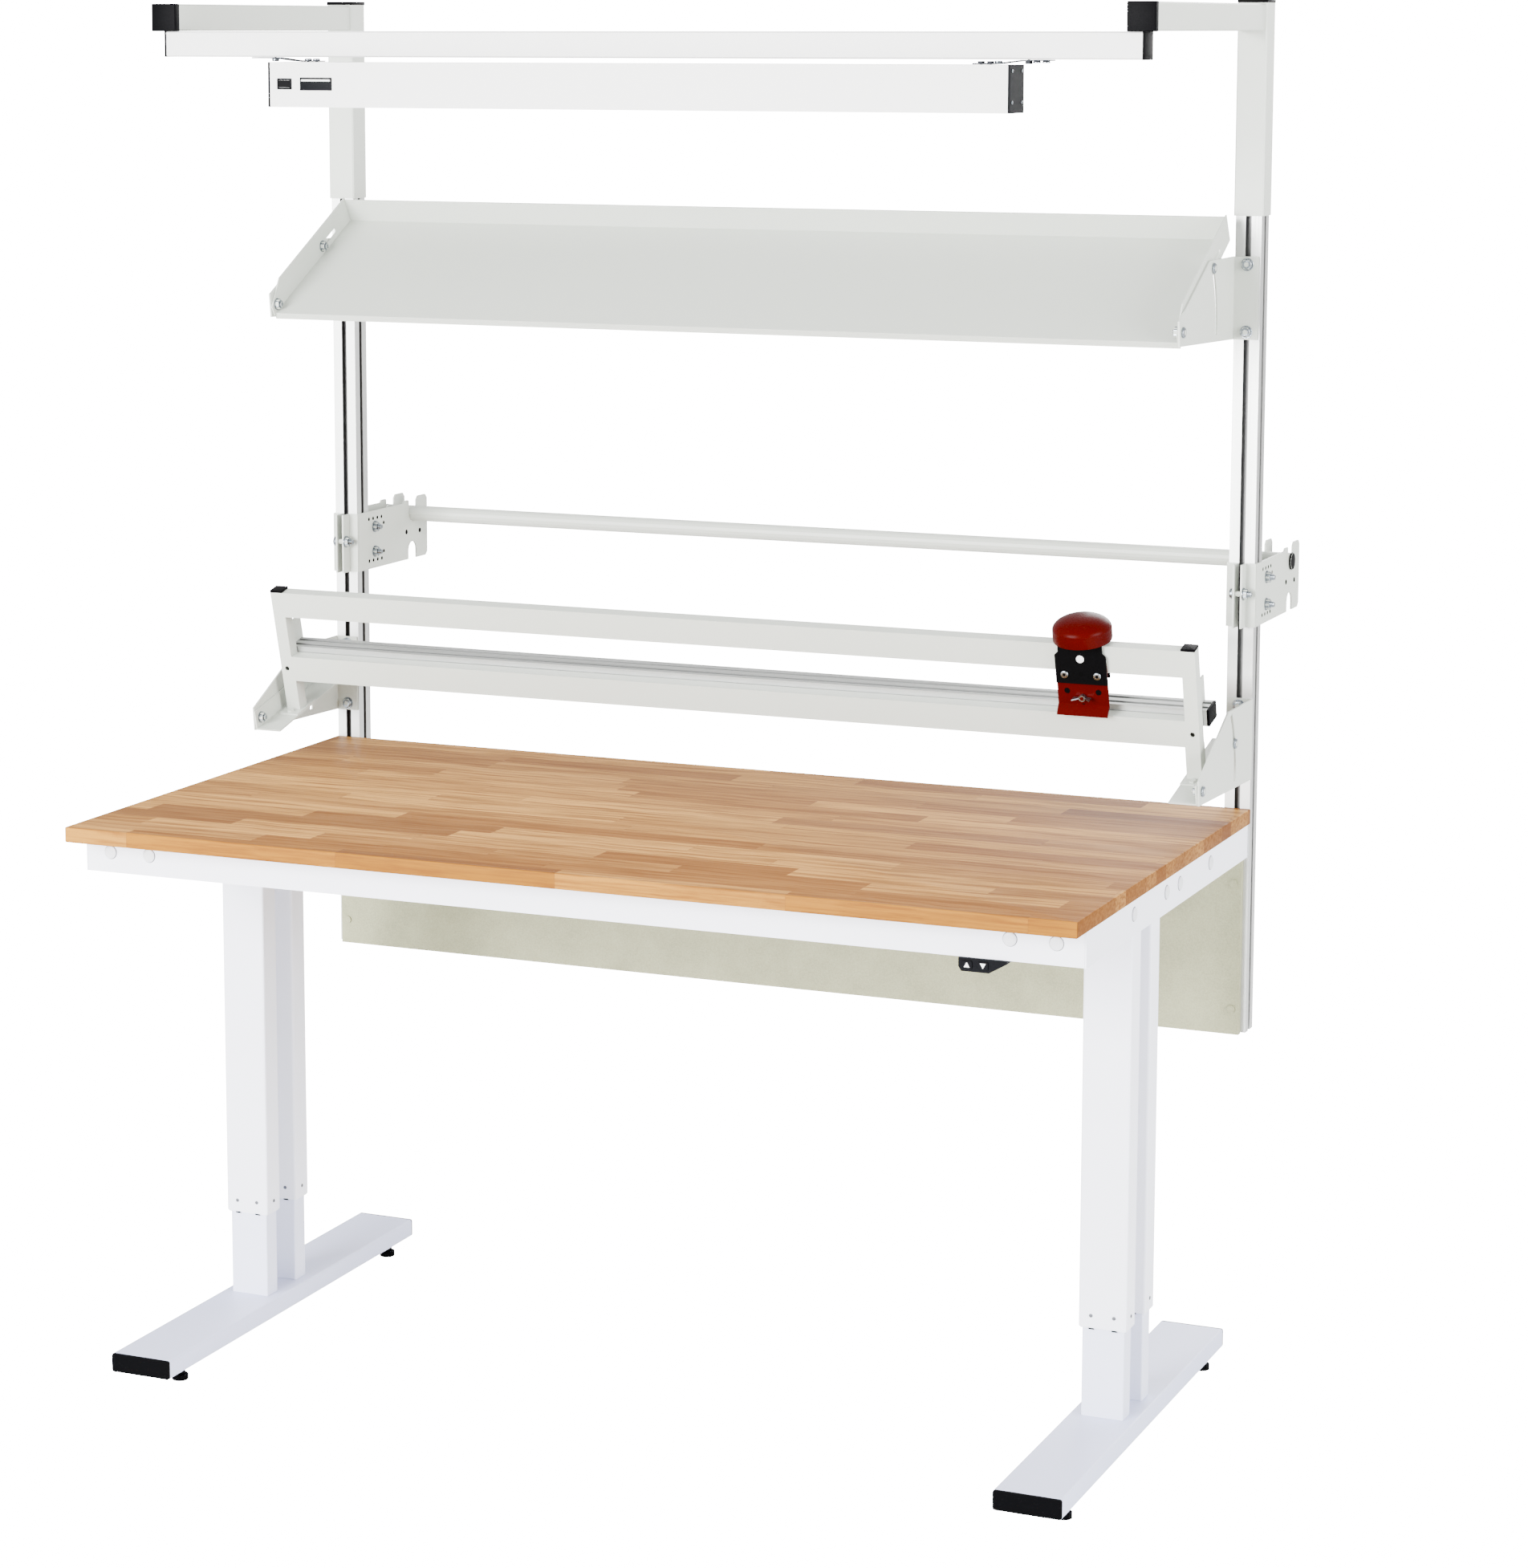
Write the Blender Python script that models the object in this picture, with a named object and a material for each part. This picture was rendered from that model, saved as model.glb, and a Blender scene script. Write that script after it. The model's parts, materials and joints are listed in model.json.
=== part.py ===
"""A packing table with a height-adjustable frame: work top on two T-shaped legs, two slotted posts behind it
that carry a lamp on a gantry, a tilting shelf, a paper roll holder and a tilting cutter frame.

Metres, +Z up. The origin is on the floor, under the middle of the table: +X is to the right of the person
who stands at it, +Y points away from that person, to the posts. The table stands at its photographed height.
"""

import math

import bmesh
import bpy

# Clearances and sheet
SEAT_GAP = 0.0003
RUNNING_GAP = 0.0004
CUT_OVERRUN = 0.002
SHEET = 0.0025
# How far a fastener, plug or cap reaches into the piece that it is one with
WELD = 0.0004

# Work top; heights are above the floor at the rest position
TOP_WIDTH = 1.500
TOP_DEPTH = 0.800
TOP_THICKNESS = 0.022
TOP_HEIGHT = 0.8306
FRONT_Y = -0.518

# Table frame of folded sheet steel under the work top
RAIL_HEIGHT = 0.0492
RAIL_SHEET = 0.002
RAIL_FLANGE = 0.030
RAIL_FRONT_SETBACK = 0.0507
RAIL_SIDE_SETBACK = 0.0038
PLUG_RADIUS = 0.009
PLUG_HEAD = 0.0015
PLUG_STEM_RADIUS = 0.006
PLUG_STEM = 0.006
PLUG_DROP = 0.020
PLUG_FRONT_INSETS = (0.0438, 0.107)
PLUG_SIDE_PLACES = (0.253, 0.400, 0.462, 0.610)
TOP_SCREW_RADIUS = 0.0025
TOP_SCREW_HEAD_RADIUS = 0.0055
TOP_SCREW_HEAD = 0.003
TOP_SCREW_BITE = 0.014

# Feet and levellers
FOOT_LENGTH = 0.754
FOOT_WIDTH = 0.0957
FOOT_HEIGHT = 0.0275
FOOT_WALL = 0.0025
FOOT_CORNER = 0.003
FOOT_SIDE_SETBACK = 0.0268
FOOT_FRONT_SETBACK = 0.0514
FOOT_CAP_FLANGE = 0.003
FOOT_CAP_PLUG = 0.012
LEVELLER_REACH = 0.018
LEVELLER_OFFSET = 0.032
LEVELLER_END_INSET = 0.057
LEVELLER_PAD_RADIUS = 0.012
LEVELLER_PAD_HEIGHT = 0.008
LEVELLER_HEX_RADIUS = 0.0075
LEVELLER_HEX_HEIGHT = 0.005
LEVELLER_STEM_RADIUS = 0.004
LEVELLER_STEM = 0.034

# Lifting columns: a fixed inner tube on the foot and a moving outer tube over it
COLUMN_WIDTH = 0.0697
COLUMN_DEPTH = 0.0397
COLUMN_WALL = 0.002
COLUMN_CORNER = 0.003
COLUMN_SIDE_SETBACK = 0.0393
COLUMN_FRONT_SETBACKS = (0.3642, 0.451)
COLUMN_BOTTOM = 0.1751
INNER_WIDTH = 0.0611
INNER_DEPTH = 0.0311
INNER_WALL = 0.002
INNER_TOP = 0.580
INNER_CORNER = 0.002
BASE_BLOCK_HEIGHT = 0.020
BASE_BOLT_RADIUS = 0.004
BASE_BOLT_HEAD_RADIUS = 0.0065
BASE_BOLT_HEAD = 0.005
BASE_BOLT_SPREAD = 0.036
GLIDE_HEIGHT = 0.030
GLIDE_LIP = 0.002
LIFT_MOTOR_HEIGHT = 0.080
SPINDLE_RADIUS = 0.006
SPINDLE_LENGTH = 0.452
SPINDLE_NUT_HEIGHT = 0.026

# Column carriers: cross channels that join the columns to the table frame
CARRIER_WIDTH = 0.088
CARRIER_HEIGHT = 0.018
CARRIER_SHEET = 0.003
CARRIER_BOLT_RADIUS = 0.004
CARRIER_BOLT_HEAD_RADIUS = 0.0065
CARRIER_BOLT_HEAD = 0.0045
COLUMN_BOLT_RADIUS = 0.003
COLUMN_BOLT_HEAD_RADIUS = 0.0055
COLUMN_BOLT_HEAD = 0.0018
COLUMN_BOLT_LENGTH = 0.020
COLUMN_BOLT_SPREAD = 0.044

# Control box under the work top, with its mains inlet, and the handset under the front rail
CONTROL_WIDTH = 0.220
CONTROL_DEPTH = 0.110
CONTROL_HEIGHT = 0.038
CONTROL_WALL = 0.0025
CONTROL_BACK_SETBACK = 0.140
CONTROL_LUG = 0.014
CONTROL_BOARD = 0.0016
INLET_WIDTH = 0.028
INLET_HEIGHT = 0.020
INLET_DEPTH = 0.022
HANDSET_WIDTH = 0.066
HANDSET_SLOPE = 0.012
HANDSET_HEIGHT = 0.018
HANDSET_DEPTH = 0.050
HANDSET_SIDE_SETBACK = 0.143
HANDSET_FRONT_SETBACK = 0.0475
BUTTON_WIDTH = 0.014
BUTTON_HEIGHT = 0.011
BUTTON_SPREAD = 0.011
BUTTON_SHIFT = 0.010
BUTTON_PROUD = 0.0012
BUTTON_DEPTH = 0.005
BUTTON_TRAVEL_ROOM = 0.0015

# Slotted aluminium posts behind the work top, and the bolts that hold them
POST_WIDTH = 0.038
POST_SIDE_SETBACK = 0.0015
POST_DROP = 0.3326
POST_RISE = 1.1514
SLOT_OPENING = 0.0084
SLOT_LIP = 0.0025
SLOT_CAVITY = 0.0165
SLOT_DEPTH = 0.0105
POST_BOLT_RADIUS = 0.004
POST_BOLT_HEAD_RADIUS = 0.0075
POST_BOLT_HEAD = 0.0053
RAIL_BOLT_DROPS = (0.0125, 0.0370)
NUT_WIDTH = 0.0150
NUT_HEIGHT = 0.0140
NUT_THICKNESS = 0.0050

# Modesty panel between the legs, in front of the posts
PANEL_SIDE_SETBACK = 0.009
PANEL_THICKNESS = 0.010
PANEL_DROP = 0.3342
PANEL_SCREW_RADIUS = 0.003
PANEL_SCREW_HEAD_RADIUS = 0.006
PANEL_SCREW_HEAD = 0.0025

# Gantry: a sleeve over each post carries a forward arm; a cross bar hangs below the arms
SLEEVE_WIDTH = 0.043
SLEEVE_LENGTH = 0.301
SLEEVE_CROWN = 0.004
SLEEVE_CAP = 0.003
ARM_WIDTH = 0.038
ARM_HEIGHT = 0.038
ARM_DROP = 0.0035
ARM_FRONT_SETBACK = 0.275
ARM_WALL = 0.002
TUBE_CORNER = 0.002
ARM_CAP = 0.012
BAR_SIDE_SETBACK = 0.0175
BAR_HEIGHT = 0.0365
BAR_DEPTH = 0.036
BAR_AXIS_SETBACK = 0.010
BAR_FRONT_SETBACK = 0.282
BAR_CAP = 0.003
BAR_SCREW_RADIUS = 0.003
BAR_SCREW_HEAD_RADIUS = 0.0042
BAR_SCREW_SETBACK = 0.014
BAR_SCREW_INSET = 0.009
BAR_SCREW_HEAD = 0.003

# Lamp under the cross bar
LAMP_CENTRE = 0.008
LAMP_LENGTH = 1.106
LAMP_HEIGHT = 0.063
LAMP_DEPTH = 0.055
LAMP_DROP = 0.0067
LAMP_FRONT_SETBACK = 0.250
LAMP_WALL = 0.0025
LAMP_CAP = 0.003
LAMP_GROOVE = 0.004
DIFFUSER_THICKNESS = 0.002
LED_BOARD_THICKNESS = 0.0016
LED_BOARD_INSET = 0.008
LAMP_DRIVER_LENGTH = 0.180
LAMP_DRIVER_HEIGHT = 0.016
SPRING_BEND_SHARE = 0.3
SPRING_SPAN_SHARE = 0.45
SPRING_WIDTH = 0.020
SPRING_THICKNESS = 0.0016
SPRING_LENGTH = 0.108
SPRING_OUTREACH = 0.044
SPRING_BOLT_RADIUS = 0.002
SPRING_BOLT_HEAD_RADIUS = 0.005
SPRING_BOLT_HEAD = 0.004
SPRING_NUT_HEIGHT = 0.0025
SPRING_NUT_PLACES = (0.042, 0.055)
SWITCH_WIDTH = 0.021
SWITCH_HEIGHT = 0.013
SWITCH_DEPTH = 0.012
SWITCH_FRAME = 0.0015
SWITCH_INSET = 0.016
SWITCH_DROP = 0.024
SWITCH_PROUD = 0.0015
BADGE_WIDTH = 0.050
BADGE_HEIGHT = 0.0175
BADGE_THICKNESS = 0.001
BADGE_INSET = 0.052
SWITCH_TIP = 5.0
SWITCH_ROOM = 0.0009
BUTTON_CORNER = 0.002

# Swivel brackets: four alike, two for the shelf and two for the cutter frame
BRACKET_HEIGHT = 0.118
BRACKET_TOP_REACH = 0.126
BRACKET_REACH = 0.268
BRACKET_NOSE_HEIGHT = 0.043
BRACKET_NOSE_REACH = 0.264
BRACKET_NOSE_DROP = 0.008
BRACKET_PIVOT_REACH = 0.252
BRACKET_PIVOT_RISE = 0.027
BRACKET_BOLT_RISES = (0.011, 0.107)
ARC_RADIUS = 0.164
ARC_LOW = -5.0
ARC_HIGH = 31.0
PIVOT_BOLT_RADIUS = 0.004
PIVOT_SIDES = 8
PIVOT_HEAD_RADIUS = 0.0075
PIVOT_HEAD = 0.0035
PIVOT_NUT = 0.0065
SHELF_BRACKET_RISE = 0.6788
CUTTER_BRACKET_RISE = 0.0438

# Shelf tray, modelled level round its pivot and then tilted
SHELF_TILT = 28.5
SHELF_SHEET = 0.002
SHELF_DEPTH = 0.272
SHELF_PIVOT_BACK = 0.010
SHELF_PIVOT_UP = 0.010
SHELF_BACK_LIP = 0.037
SHELF_FRONT_HEM = 0.010
SHELF_FLANGE = 0.042
SHELF_FLANGE_NOSE = 0.004
SHELF_FLANGE_NOSE_HEIGHT = 0.016
SHELF_FLANGE_SLOPE = 0.040
SHELF_SLOT_LENGTH = 0.090
SHELF_LOCK_RISE = 0.002
STIFFENER_INSET = 0.025
STIFFENER_SETBACK = 0.022
STIFFENER_WIDTH = 0.030
STIFFENER_DEPTH = 0.018
STIFFENER_SHEET = 0.0015

# Paper roll holder: a pair of folded plates round each post, and a tube across their hooks
ROLL_RISE = 0.2658
ROLL_HEIGHT = 0.092
ROLL_REACH = 0.234
ROLL_CORNER = 0.006
ROLL_HOOK_REACH = 0.184
ROLL_HOOK_WIDTH = 0.0265
ROLL_HOOK_RISE = 0.074
ROLL_BUMP_HEIGHT = 0.004
ROLL_BUMP_WIDTH = 0.020
ROLL_TAB_HEIGHT = 0.008
ROLL_NOTCH_REACH = 0.182
ROLL_NOTCH_WIDTH = 0.028
ROLL_NOTCH_DEPTH = 0.028
ROLL_EAR = 0.020
ROLL_EAR_SPREAD = 0.0045
CLAMP_BOLT_SETBACK = 0.0125
CLAMP_BOLT_RISE = 0.0495
THROUGH_BOLT_REACH = 0.054
THROUGH_BOLT_RISES = (0.0268, 0.0665)
ROLL_NUT = 0.0065
ROLL_BOLT_TAIL = 0.006
ROD_RADIUS = 0.0125
ROD_WALL = 0.0015
ROD_OVERHANG = 0.003
ROD_CAP = 0.0025
ROD_CAP_HOLE = 0.002

# Cutter frame, modelled upright round its pivot and then leaned
CUTTER_LEAN = 14.5
CUTTER_SIDE_SETBACK = 0.018
CUTTER_FRONT = 0.060
CUTTER_TUBE = 0.020
CUTTER_RAIL = 0.040
CUTTER_WALL = 0.0018
CUTTER_LOW = 0.037
CUTTER_HEIGHT = 0.146
CUTTER_CAP = 0.0033
VENT_RADIUS = 0.004
STUB_WIDTH = 0.022
SWING_FRONT = 0.015
SWING_LENGTH = 0.220
SWING_LEG = 0.042
SWING_UP = 0.0145
SWING_DOWN = 0.0155
FOOT_PLATE_FRONT = 0.042
FOOT_PLATE_LENGTH = 0.058
FOOT_PLATE_WIDTH = 0.032
FOOT_SCREW_RADIUS = 0.003
FOOT_SCREW_HEAD_RADIUS = 0.0055
FOOT_SCREW_HEAD = 0.003
FOOT_SCREW_INSET = 0.008

# Slot rail behind the frame's lower rail, which the cutter head slides along
RAIL_BODY_HEIGHT = 0.024
RAIL_BODY_DEPTH = 0.036
RAIL_BODY_FRONT = 0.0815
RAIL_BODY_LOW = 0.062
RAIL_BODY_OVERHANG = 0.0055
RAIL_GROOVE = 0.0062
RAIL_GROOVE_SHARES = (0.28, 0.72)
RAIL_GROOVE_DEPTH = 0.008
RAIL_CAP = 0.0035
TAB_HEIGHT = 0.070
TAB_DEPTH = 0.036
TAB_SHEET = 0.0025
TAB_SLIT = 0.003

# Cutter head on the frame
HEAD_INSET = 0.1655
HEAD_WIDTH = 0.075
HEAD_SHOULDER = 0.065
HEAD_SHOULDER_HEIGHT = 0.016
HEAD_SHEET = 0.0025
HEAD_STANDOFF = 0.0030
HEAD_LOW = 0.1255
HEAD_HIGH = 0.184
DOME_RADIUS = 0.042
DOME_RIM = 0.017
DOME_RISE = 0.018
DOME_WALL = 0.0025
DOME_LOW = 0.187
DOME_BACKSET = 0.002
HEAD_HOLE_RADIUS = 0.0055
HEAD_HOLE_RISE = 0.038
HEAD_SCREW_SPREAD = 0.048
HEAD_SCREW_RISE = 0.014
HEAD_SCREW_RADIUS = 0.0025
HEAD_SCREW_HEAD_RADIUS = 0.0055
HEAD_SCREW_HEAD = 0.003
GRIP_LOW = 0.079
GRIP_WIDTH = 0.0745
GRIP_FLARE = 0.012
GRIP_HOLE_RADIUS = 0.004
GRIP_HOLE_SPREAD = 0.046
GRIP_HOLE_RISE = 0.034
BLADE_THICKNESS = 0.0006
BLADE_HEIGHT = 0.040
BLADE_WIDTH = 0.018
WING_RISE = 0.026
WING_STUD_RADIUS = 0.0025
WING_HUB_RADIUS = 0.005
WING_HUB = 0.007
WING_SPAN = 0.013
WING_LIFT = 0.008
WING_THICKNESS = 0.0018

# Derived places of the work top, and of the long parts that keep to its width
HALF_TOP = TOP_WIDTH / 2
HANDSET_CENTRE = HALF_TOP - HANDSET_SIDE_SETBACK
ROD_REACH = HALF_TOP + ROD_OVERHANG
CUTTER_HALF = HALF_TOP - CUTTER_SIDE_SETBACK
RAIL_BODY_HALF = CUTTER_HALF + RAIL_BODY_OVERHANG
HEAD_CENTRE = CUTTER_HALF - HEAD_INSET

# Derived heights of what the posts carry, from the work top up
PANEL_BOTTOM = TOP_HEIGHT - PANEL_DROP
POST_BOTTOM = TOP_HEIGHT - POST_DROP
POST_TOP = TOP_HEIGHT + POST_RISE
SLEEVE_TOP = POST_TOP + SLEEVE_CROWN
SLEEVE_BOTTOM = SLEEVE_TOP - SLEEVE_LENGTH
ARM_TOP = SLEEVE_TOP - ARM_DROP
ARM_BOTTOM = ARM_TOP - ARM_HEIGHT
CUTTER_BRACKET_BOTTOM = TOP_HEIGHT + CUTTER_BRACKET_RISE
SHELF_BRACKET_BOTTOM = TOP_HEIGHT + SHELF_BRACKET_RISE
ROLL_BOTTOM = TOP_HEIGHT + ROLL_RISE
ROLL_TOP = ROLL_BOTTOM + ROLL_HEIGHT
ROLL_HOOK_Z = ROLL_BOTTOM + ROLL_HOOK_RISE
TOP_UNDERSIDE = TOP_HEIGHT - TOP_THICKNESS
BACK_Y = FRONT_Y + TOP_DEPTH
SIDES = (("left", -1), ("right", 1))


def clear_scene():
    """Remove everything that a new file holds."""
    for obj in list(bpy.data.objects):
        bpy.data.objects.remove(obj)


def finish(name, colour, roughness, metallic=0.0):
    """A plain Principled material."""
    material = bpy.data.materials.new(name)
    material.use_nodes = True
    shader = material.node_tree.nodes["Principled BSDF"]
    shader.inputs["Base Color"].default_value = (*colour, 1.0)
    shader.inputs["Roughness"].default_value = roughness
    shader.inputs["Metallic"].default_value = metallic
    return material


def rectangle(u0, v0, u1, v1):
    """The four corners of a rectangle."""
    return [(u0, v0), (u1, v0), (u1, v1), (u0, v1)]


def arc(cu, cv, radius, start, end, steps):
    """Points along an arc, both ends included; angles in degrees."""
    angles = [math.radians(start + (end - start) * i / steps) for i in range(steps + 1)]
    return [(cu + radius * math.cos(a), cv + radius * math.sin(a)) for a in angles]


def circle(cu, cv, radius, sides):
    """The corners of a regular polygon that stands for a circle."""
    return arc(cu, cv, radius, 0, 360, sides)[:-1]


def rounded(u0, v0, u1, v1, radius, steps=2):
    """A rectangle with round corners."""
    outline = []
    corners = ((u1, v0, -1, 1, -90), (u1, v1, -1, -1, 0), (u0, v1, 1, -1, 90), (u0, v0, 1, 1, 180))
    for cu, cv, du, dv, start in corners:
        outline += arc(cu + du * radius, cv + dv * radius, radius, start, start + 90, steps)
    return outline


def capsule(u0, v0, u1, v1, radius, steps=4):
    """The outline of a slot with round ends round the line from (u0, v0) to (u1, v1)."""
    angle = math.degrees(math.atan2(v1 - v0, u1 - u0))
    near = arc(u0, v0, radius, angle + 90, angle + 270, steps)
    far = arc(u1, v1, radius, angle - 90, angle + 90, steps)
    return near + far


def place(plane, u, v, w):
    """A point from its two outline coordinates and its coordinate along the third axis."""
    if plane == "xy":
        return (u, v, w)
    if plane == "xz":
        return (u, w, v)
    return (w, u, v)


def prism(bm, plane, outline, start, end):
    """A solid bar: the outline carried from start to end along the axis square to its plane."""
    rings = [[bm.verts.new(place(plane, u, v, w)) for u, v in outline] for w in (start, end)]
    count = len(outline)
    for i in range(count):
        j = (i + 1) % count
        bm.faces.new((rings[0][i], rings[0][j], rings[1][j], rings[1][i]))
    bm.faces.new(rings[0])
    bm.faces.new(rings[1])


def pipe(bm, plane, outer, inner, start, end):
    """A hollow bar with open ends between two outlines of as many points."""
    rings = [
        [bm.verts.new(place(plane, u, v, w)) for u, v in line]
        for line in (outer, inner)
        for w in (start, end)
    ]
    count = len(outer)
    for a, b in ((0, 1), (1, 3), (3, 2), (2, 0)):
        for i in range(count):
            j = (i + 1) % count
            bm.faces.new((rings[a][i], rings[a][j], rings[b][j], rings[b][i]))


def block(bm, low, high):
    """A box between two corners."""
    prism(bm, "xy", rectangle(low[0], low[1], high[0], high[1]), low[2], high[2])


def turned(bm, plane, centre, profile, sides):
    """A turned solid: profile holds (radius, place along the axis) pairs, closed on the axis at both ends."""
    rings = []
    for radius, w in profile:
        rings.append([bm.verts.new(place(plane, u, v, w)) for u, v in circle(*centre, radius, sides)])
    for low, high in zip(rings, rings[1:]):
        for i in range(sides):
            j = (i + 1) % sides
            bm.faces.new((low[i], low[j], high[j], high[i]))
    bm.faces.new(rings[0])
    bm.faces.new(rings[-1])


def guide_modifier(obj, name, bm, operation, material, frame):
    """Join a mesh to an object or cut it away, by a Boolean with a hidden guide object."""
    guide = node(name, bm, material, frame)
    guide.hide_render = True
    guide.display_type = "WIRE"
    boolean = obj.modifiers.new(operation.lower(), "BOOLEAN")
    boolean.operation = operation
    boolean.solver = "EXACT"
    boolean.object = guide


def node(name, bm, material, frame=None, cutter=None, joined=()):
    """Turn a mesh into a named object on a frame empty, with other meshes joined to it and one cut away."""
    bmesh.ops.recalc_face_normals(bm, faces=bm.faces)
    mesh = bpy.data.meshes.new(name)
    bm.to_mesh(mesh)
    bm.free()
    mesh.shade_smooth()
    mesh.set_sharp_from_angle(angle=math.radians(30))
    mesh.materials.append(material)
    obj = bpy.data.objects.new(name, mesh)
    bpy.context.scene.collection.objects.link(obj)
    obj.parent = frame
    for i, extra in enumerate(joined):
        guide_modifier(obj, f"{name}_join_{i}", extra, "UNION", material, frame)
    if cutter:
        guide_modifier(obj, f"{name}_cutter", cutter, "DIFFERENCE", material, frame)
    return obj


def pivot(name, location, parent=None, turn=(0.0, 0.0, 0.0)):
    """An empty on a joint's axis; location is in the parent's own frame."""
    empty = bpy.data.objects.new(name, None)
    bpy.context.scene.collection.objects.link(empty)
    empty.parent = parent
    empty.location = location
    empty.rotation_euler = turn
    return empty


def screw(bm, plane, centre, shank_radius, head_radius, head_from, head_to, tip, sides):
    """One solid: a head between two places on the axis, then a shank from the head to the tip."""
    profile = [(head_radius, head_from), (head_radius, head_to), (shank_radius, head_to), (shank_radius, tip)]
    turned(bm, plane, centre, profile, sides)


def stepped(bm, plane, wide, narrow, start, step, tip):
    """A solid with a wide outline from start to step, and a narrow one, of as many points, on to the tip."""
    lines = ((wide, start), (wide, step), (narrow, step), (narrow, tip))
    rings = [[bm.verts.new(place(plane, u, v, w)) for u, v in line] for line, w in lines]
    count = len(wide)
    for low, high in zip(rings, rings[1:]):
        for i in range(count):
            j = (i + 1) % count
            bm.faces.new((low[i], low[j], high[j], high[i]))
    bm.faces.new(rings[0])
    bm.faces.new(rings[-1])


def on_side(places, side):
    """The places whose x lies on one side of the table's middle."""
    return [spot for spot in places if spot[0] * side > 0]


def work_top(lift, wood):
    """The beech block-board top, with blind holes for its screws."""
    bm = bmesh.new()
    block(bm, (-HALF_TOP, FRONT_Y, TOP_UNDERSIDE), (HALF_TOP, BACK_Y, TOP_HEIGHT))
    holes = bmesh.new()
    for x, y in top_screw_places() + control_screw_places():
        outline = circle(x, y, TOP_SCREW_RADIUS + SEAT_GAP, 6)
        prism(holes, "xy", outline, TOP_UNDERSIDE - CUT_OVERRUN, TOP_UNDERSIDE + TOP_SCREW_BITE + SEAT_GAP)
    node("work_top", bm, wood, lift, holes)


RAIL_TOP = TOP_UNDERSIDE - SEAT_GAP
RAIL_BOTTOM = RAIL_TOP - RAIL_HEIGHT
RAIL_FRONT = FRONT_Y + RAIL_FRONT_SETBACK
RAIL_BACK = BACK_Y
RAIL_SIDE = HALF_TOP - RAIL_SIDE_SETBACK
FLANGE_MIDDLE = RAIL_SHEET + (RAIL_FLANGE - RAIL_SHEET) / 2
FLANGE_ROWS = (RAIL_FRONT + FLANGE_MIDDLE, RAIL_BACK - FLANGE_MIDDLE)
TOP_SCREW_SPREAD_SHARES = (-0.75, -0.4, 0.0, 0.4, 0.75)


def top_screw_places():
    """Five screws through the top flange of the front rail and five through that of the rear rail."""
    return [(share * RAIL_SIDE, y) for y in FLANGE_ROWS for share in TOP_SCREW_SPREAD_SHARES]


def top_screw(bm, x, y):
    """A pan-head wood screw up through a sheet under the work top."""
    face = RAIL_TOP - RAIL_SHEET
    tip = TOP_UNDERSIDE + TOP_SCREW_BITE
    head = face - TOP_SCREW_HEAD
    screw(bm, "xy", (x, y), TOP_SCREW_RADIUS, TOP_SCREW_HEAD_RADIUS, head, face + WELD, tip, 6)


def channel(web, flange_end, bottom, top, sheet):
    """A C outline: the web at one place, both flanges reaching to flange_end; u is across, v is up."""
    inward = math.copysign(sheet, flange_end - web)
    return [
        (web, bottom),
        (flange_end, bottom),
        (flange_end, bottom + sheet),
        (web + inward, bottom + sheet),
        (web + inward, top - sheet),
        (flange_end, top - sheet),
        (flange_end, top),
        (web, top),
    ]


def end_rail(name, web_y, flange_y, row, extras, spots, lift, paint):
    """The front or rear rail: a C channel between the side rails' webs, with its wood screws and extras.

    The spots are places and radii of holes up through its bottom flange.
    """
    reach = RAIL_SIDE - RAIL_SHEET - SEAT_GAP
    bm = bmesh.new()
    prism(bm, "yz", channel(web_y, flange_y, RAIL_BOTTOM, RAIL_TOP, RAIL_SHEET), -reach, reach)
    screws = bmesh.new()
    holes = bmesh.new()
    for share in TOP_SCREW_SPREAD_SHARES:
        top_screw(screws, share * RAIL_SIDE, row)
    for x, y in carrier_bolt_places():
        if y == row:
            outline = circle(x, y, CARRIER_BOLT_RADIUS + SEAT_GAP, 6)
            prism(holes, "xy", outline, RAIL_TOP - RAIL_SHEET - CUT_OVERRUN, RAIL_TOP + CUT_OVERRUN)
    for x, y, radius in spots:
        outline = circle(x, y, radius + SEAT_GAP, 6)
        prism(holes, "xy", outline, RAIL_BOTTOM - CUT_OVERRUN, RAIL_BOTTOM + RAIL_SHEET + CUT_OVERRUN)
    node(name, bm, paint, lift, holes, [screws] + extras)


def front_rail(lift, paint):
    """The front rail, with the plugs in its round holes and holes for the handset's screws."""
    plugs = bmesh.new()
    for centre in front_plug_places():
        head = RAIL_FRONT - PLUG_HEAD
        screw(
            plugs,
            "xz",
            centre,
            PLUG_STEM_RADIUS,
            PLUG_RADIUS,
            head,
            RAIL_FRONT + WELD,
            RAIL_FRONT + PLUG_STEM,
            8,
        )
    spots = [(x, HANDSET_SCREW_Y, TOP_SCREW_RADIUS) for x in HANDSET_SCREW_XS]
    end_rail("front_rail", RAIL_FRONT, RAIL_FRONT + RAIL_FLANGE, FLANGE_ROWS[0], [plugs], spots, lift, paint)


def rear_rail(lift, paint):
    """The rear rail, with the bolts that hold the posts and their threaded plates."""
    bolts, nuts = post_bolts(post_bolt_places(), RAIL_BACK - RAIL_SHEET)
    end_rail("rear_rail", RAIL_BACK, RAIL_BACK - RAIL_FLANGE, FLANGE_ROWS[1], [bolts, nuts], [], lift, paint)


def front_plug_places():
    """Centres of the round plugs on the front rail."""
    spots = [HALF_TOP - inset for inset in PLUG_FRONT_INSETS]
    return [(side * x, RAIL_TOP - PLUG_DROP) for _, side in SIDES for x in spots]


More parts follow.
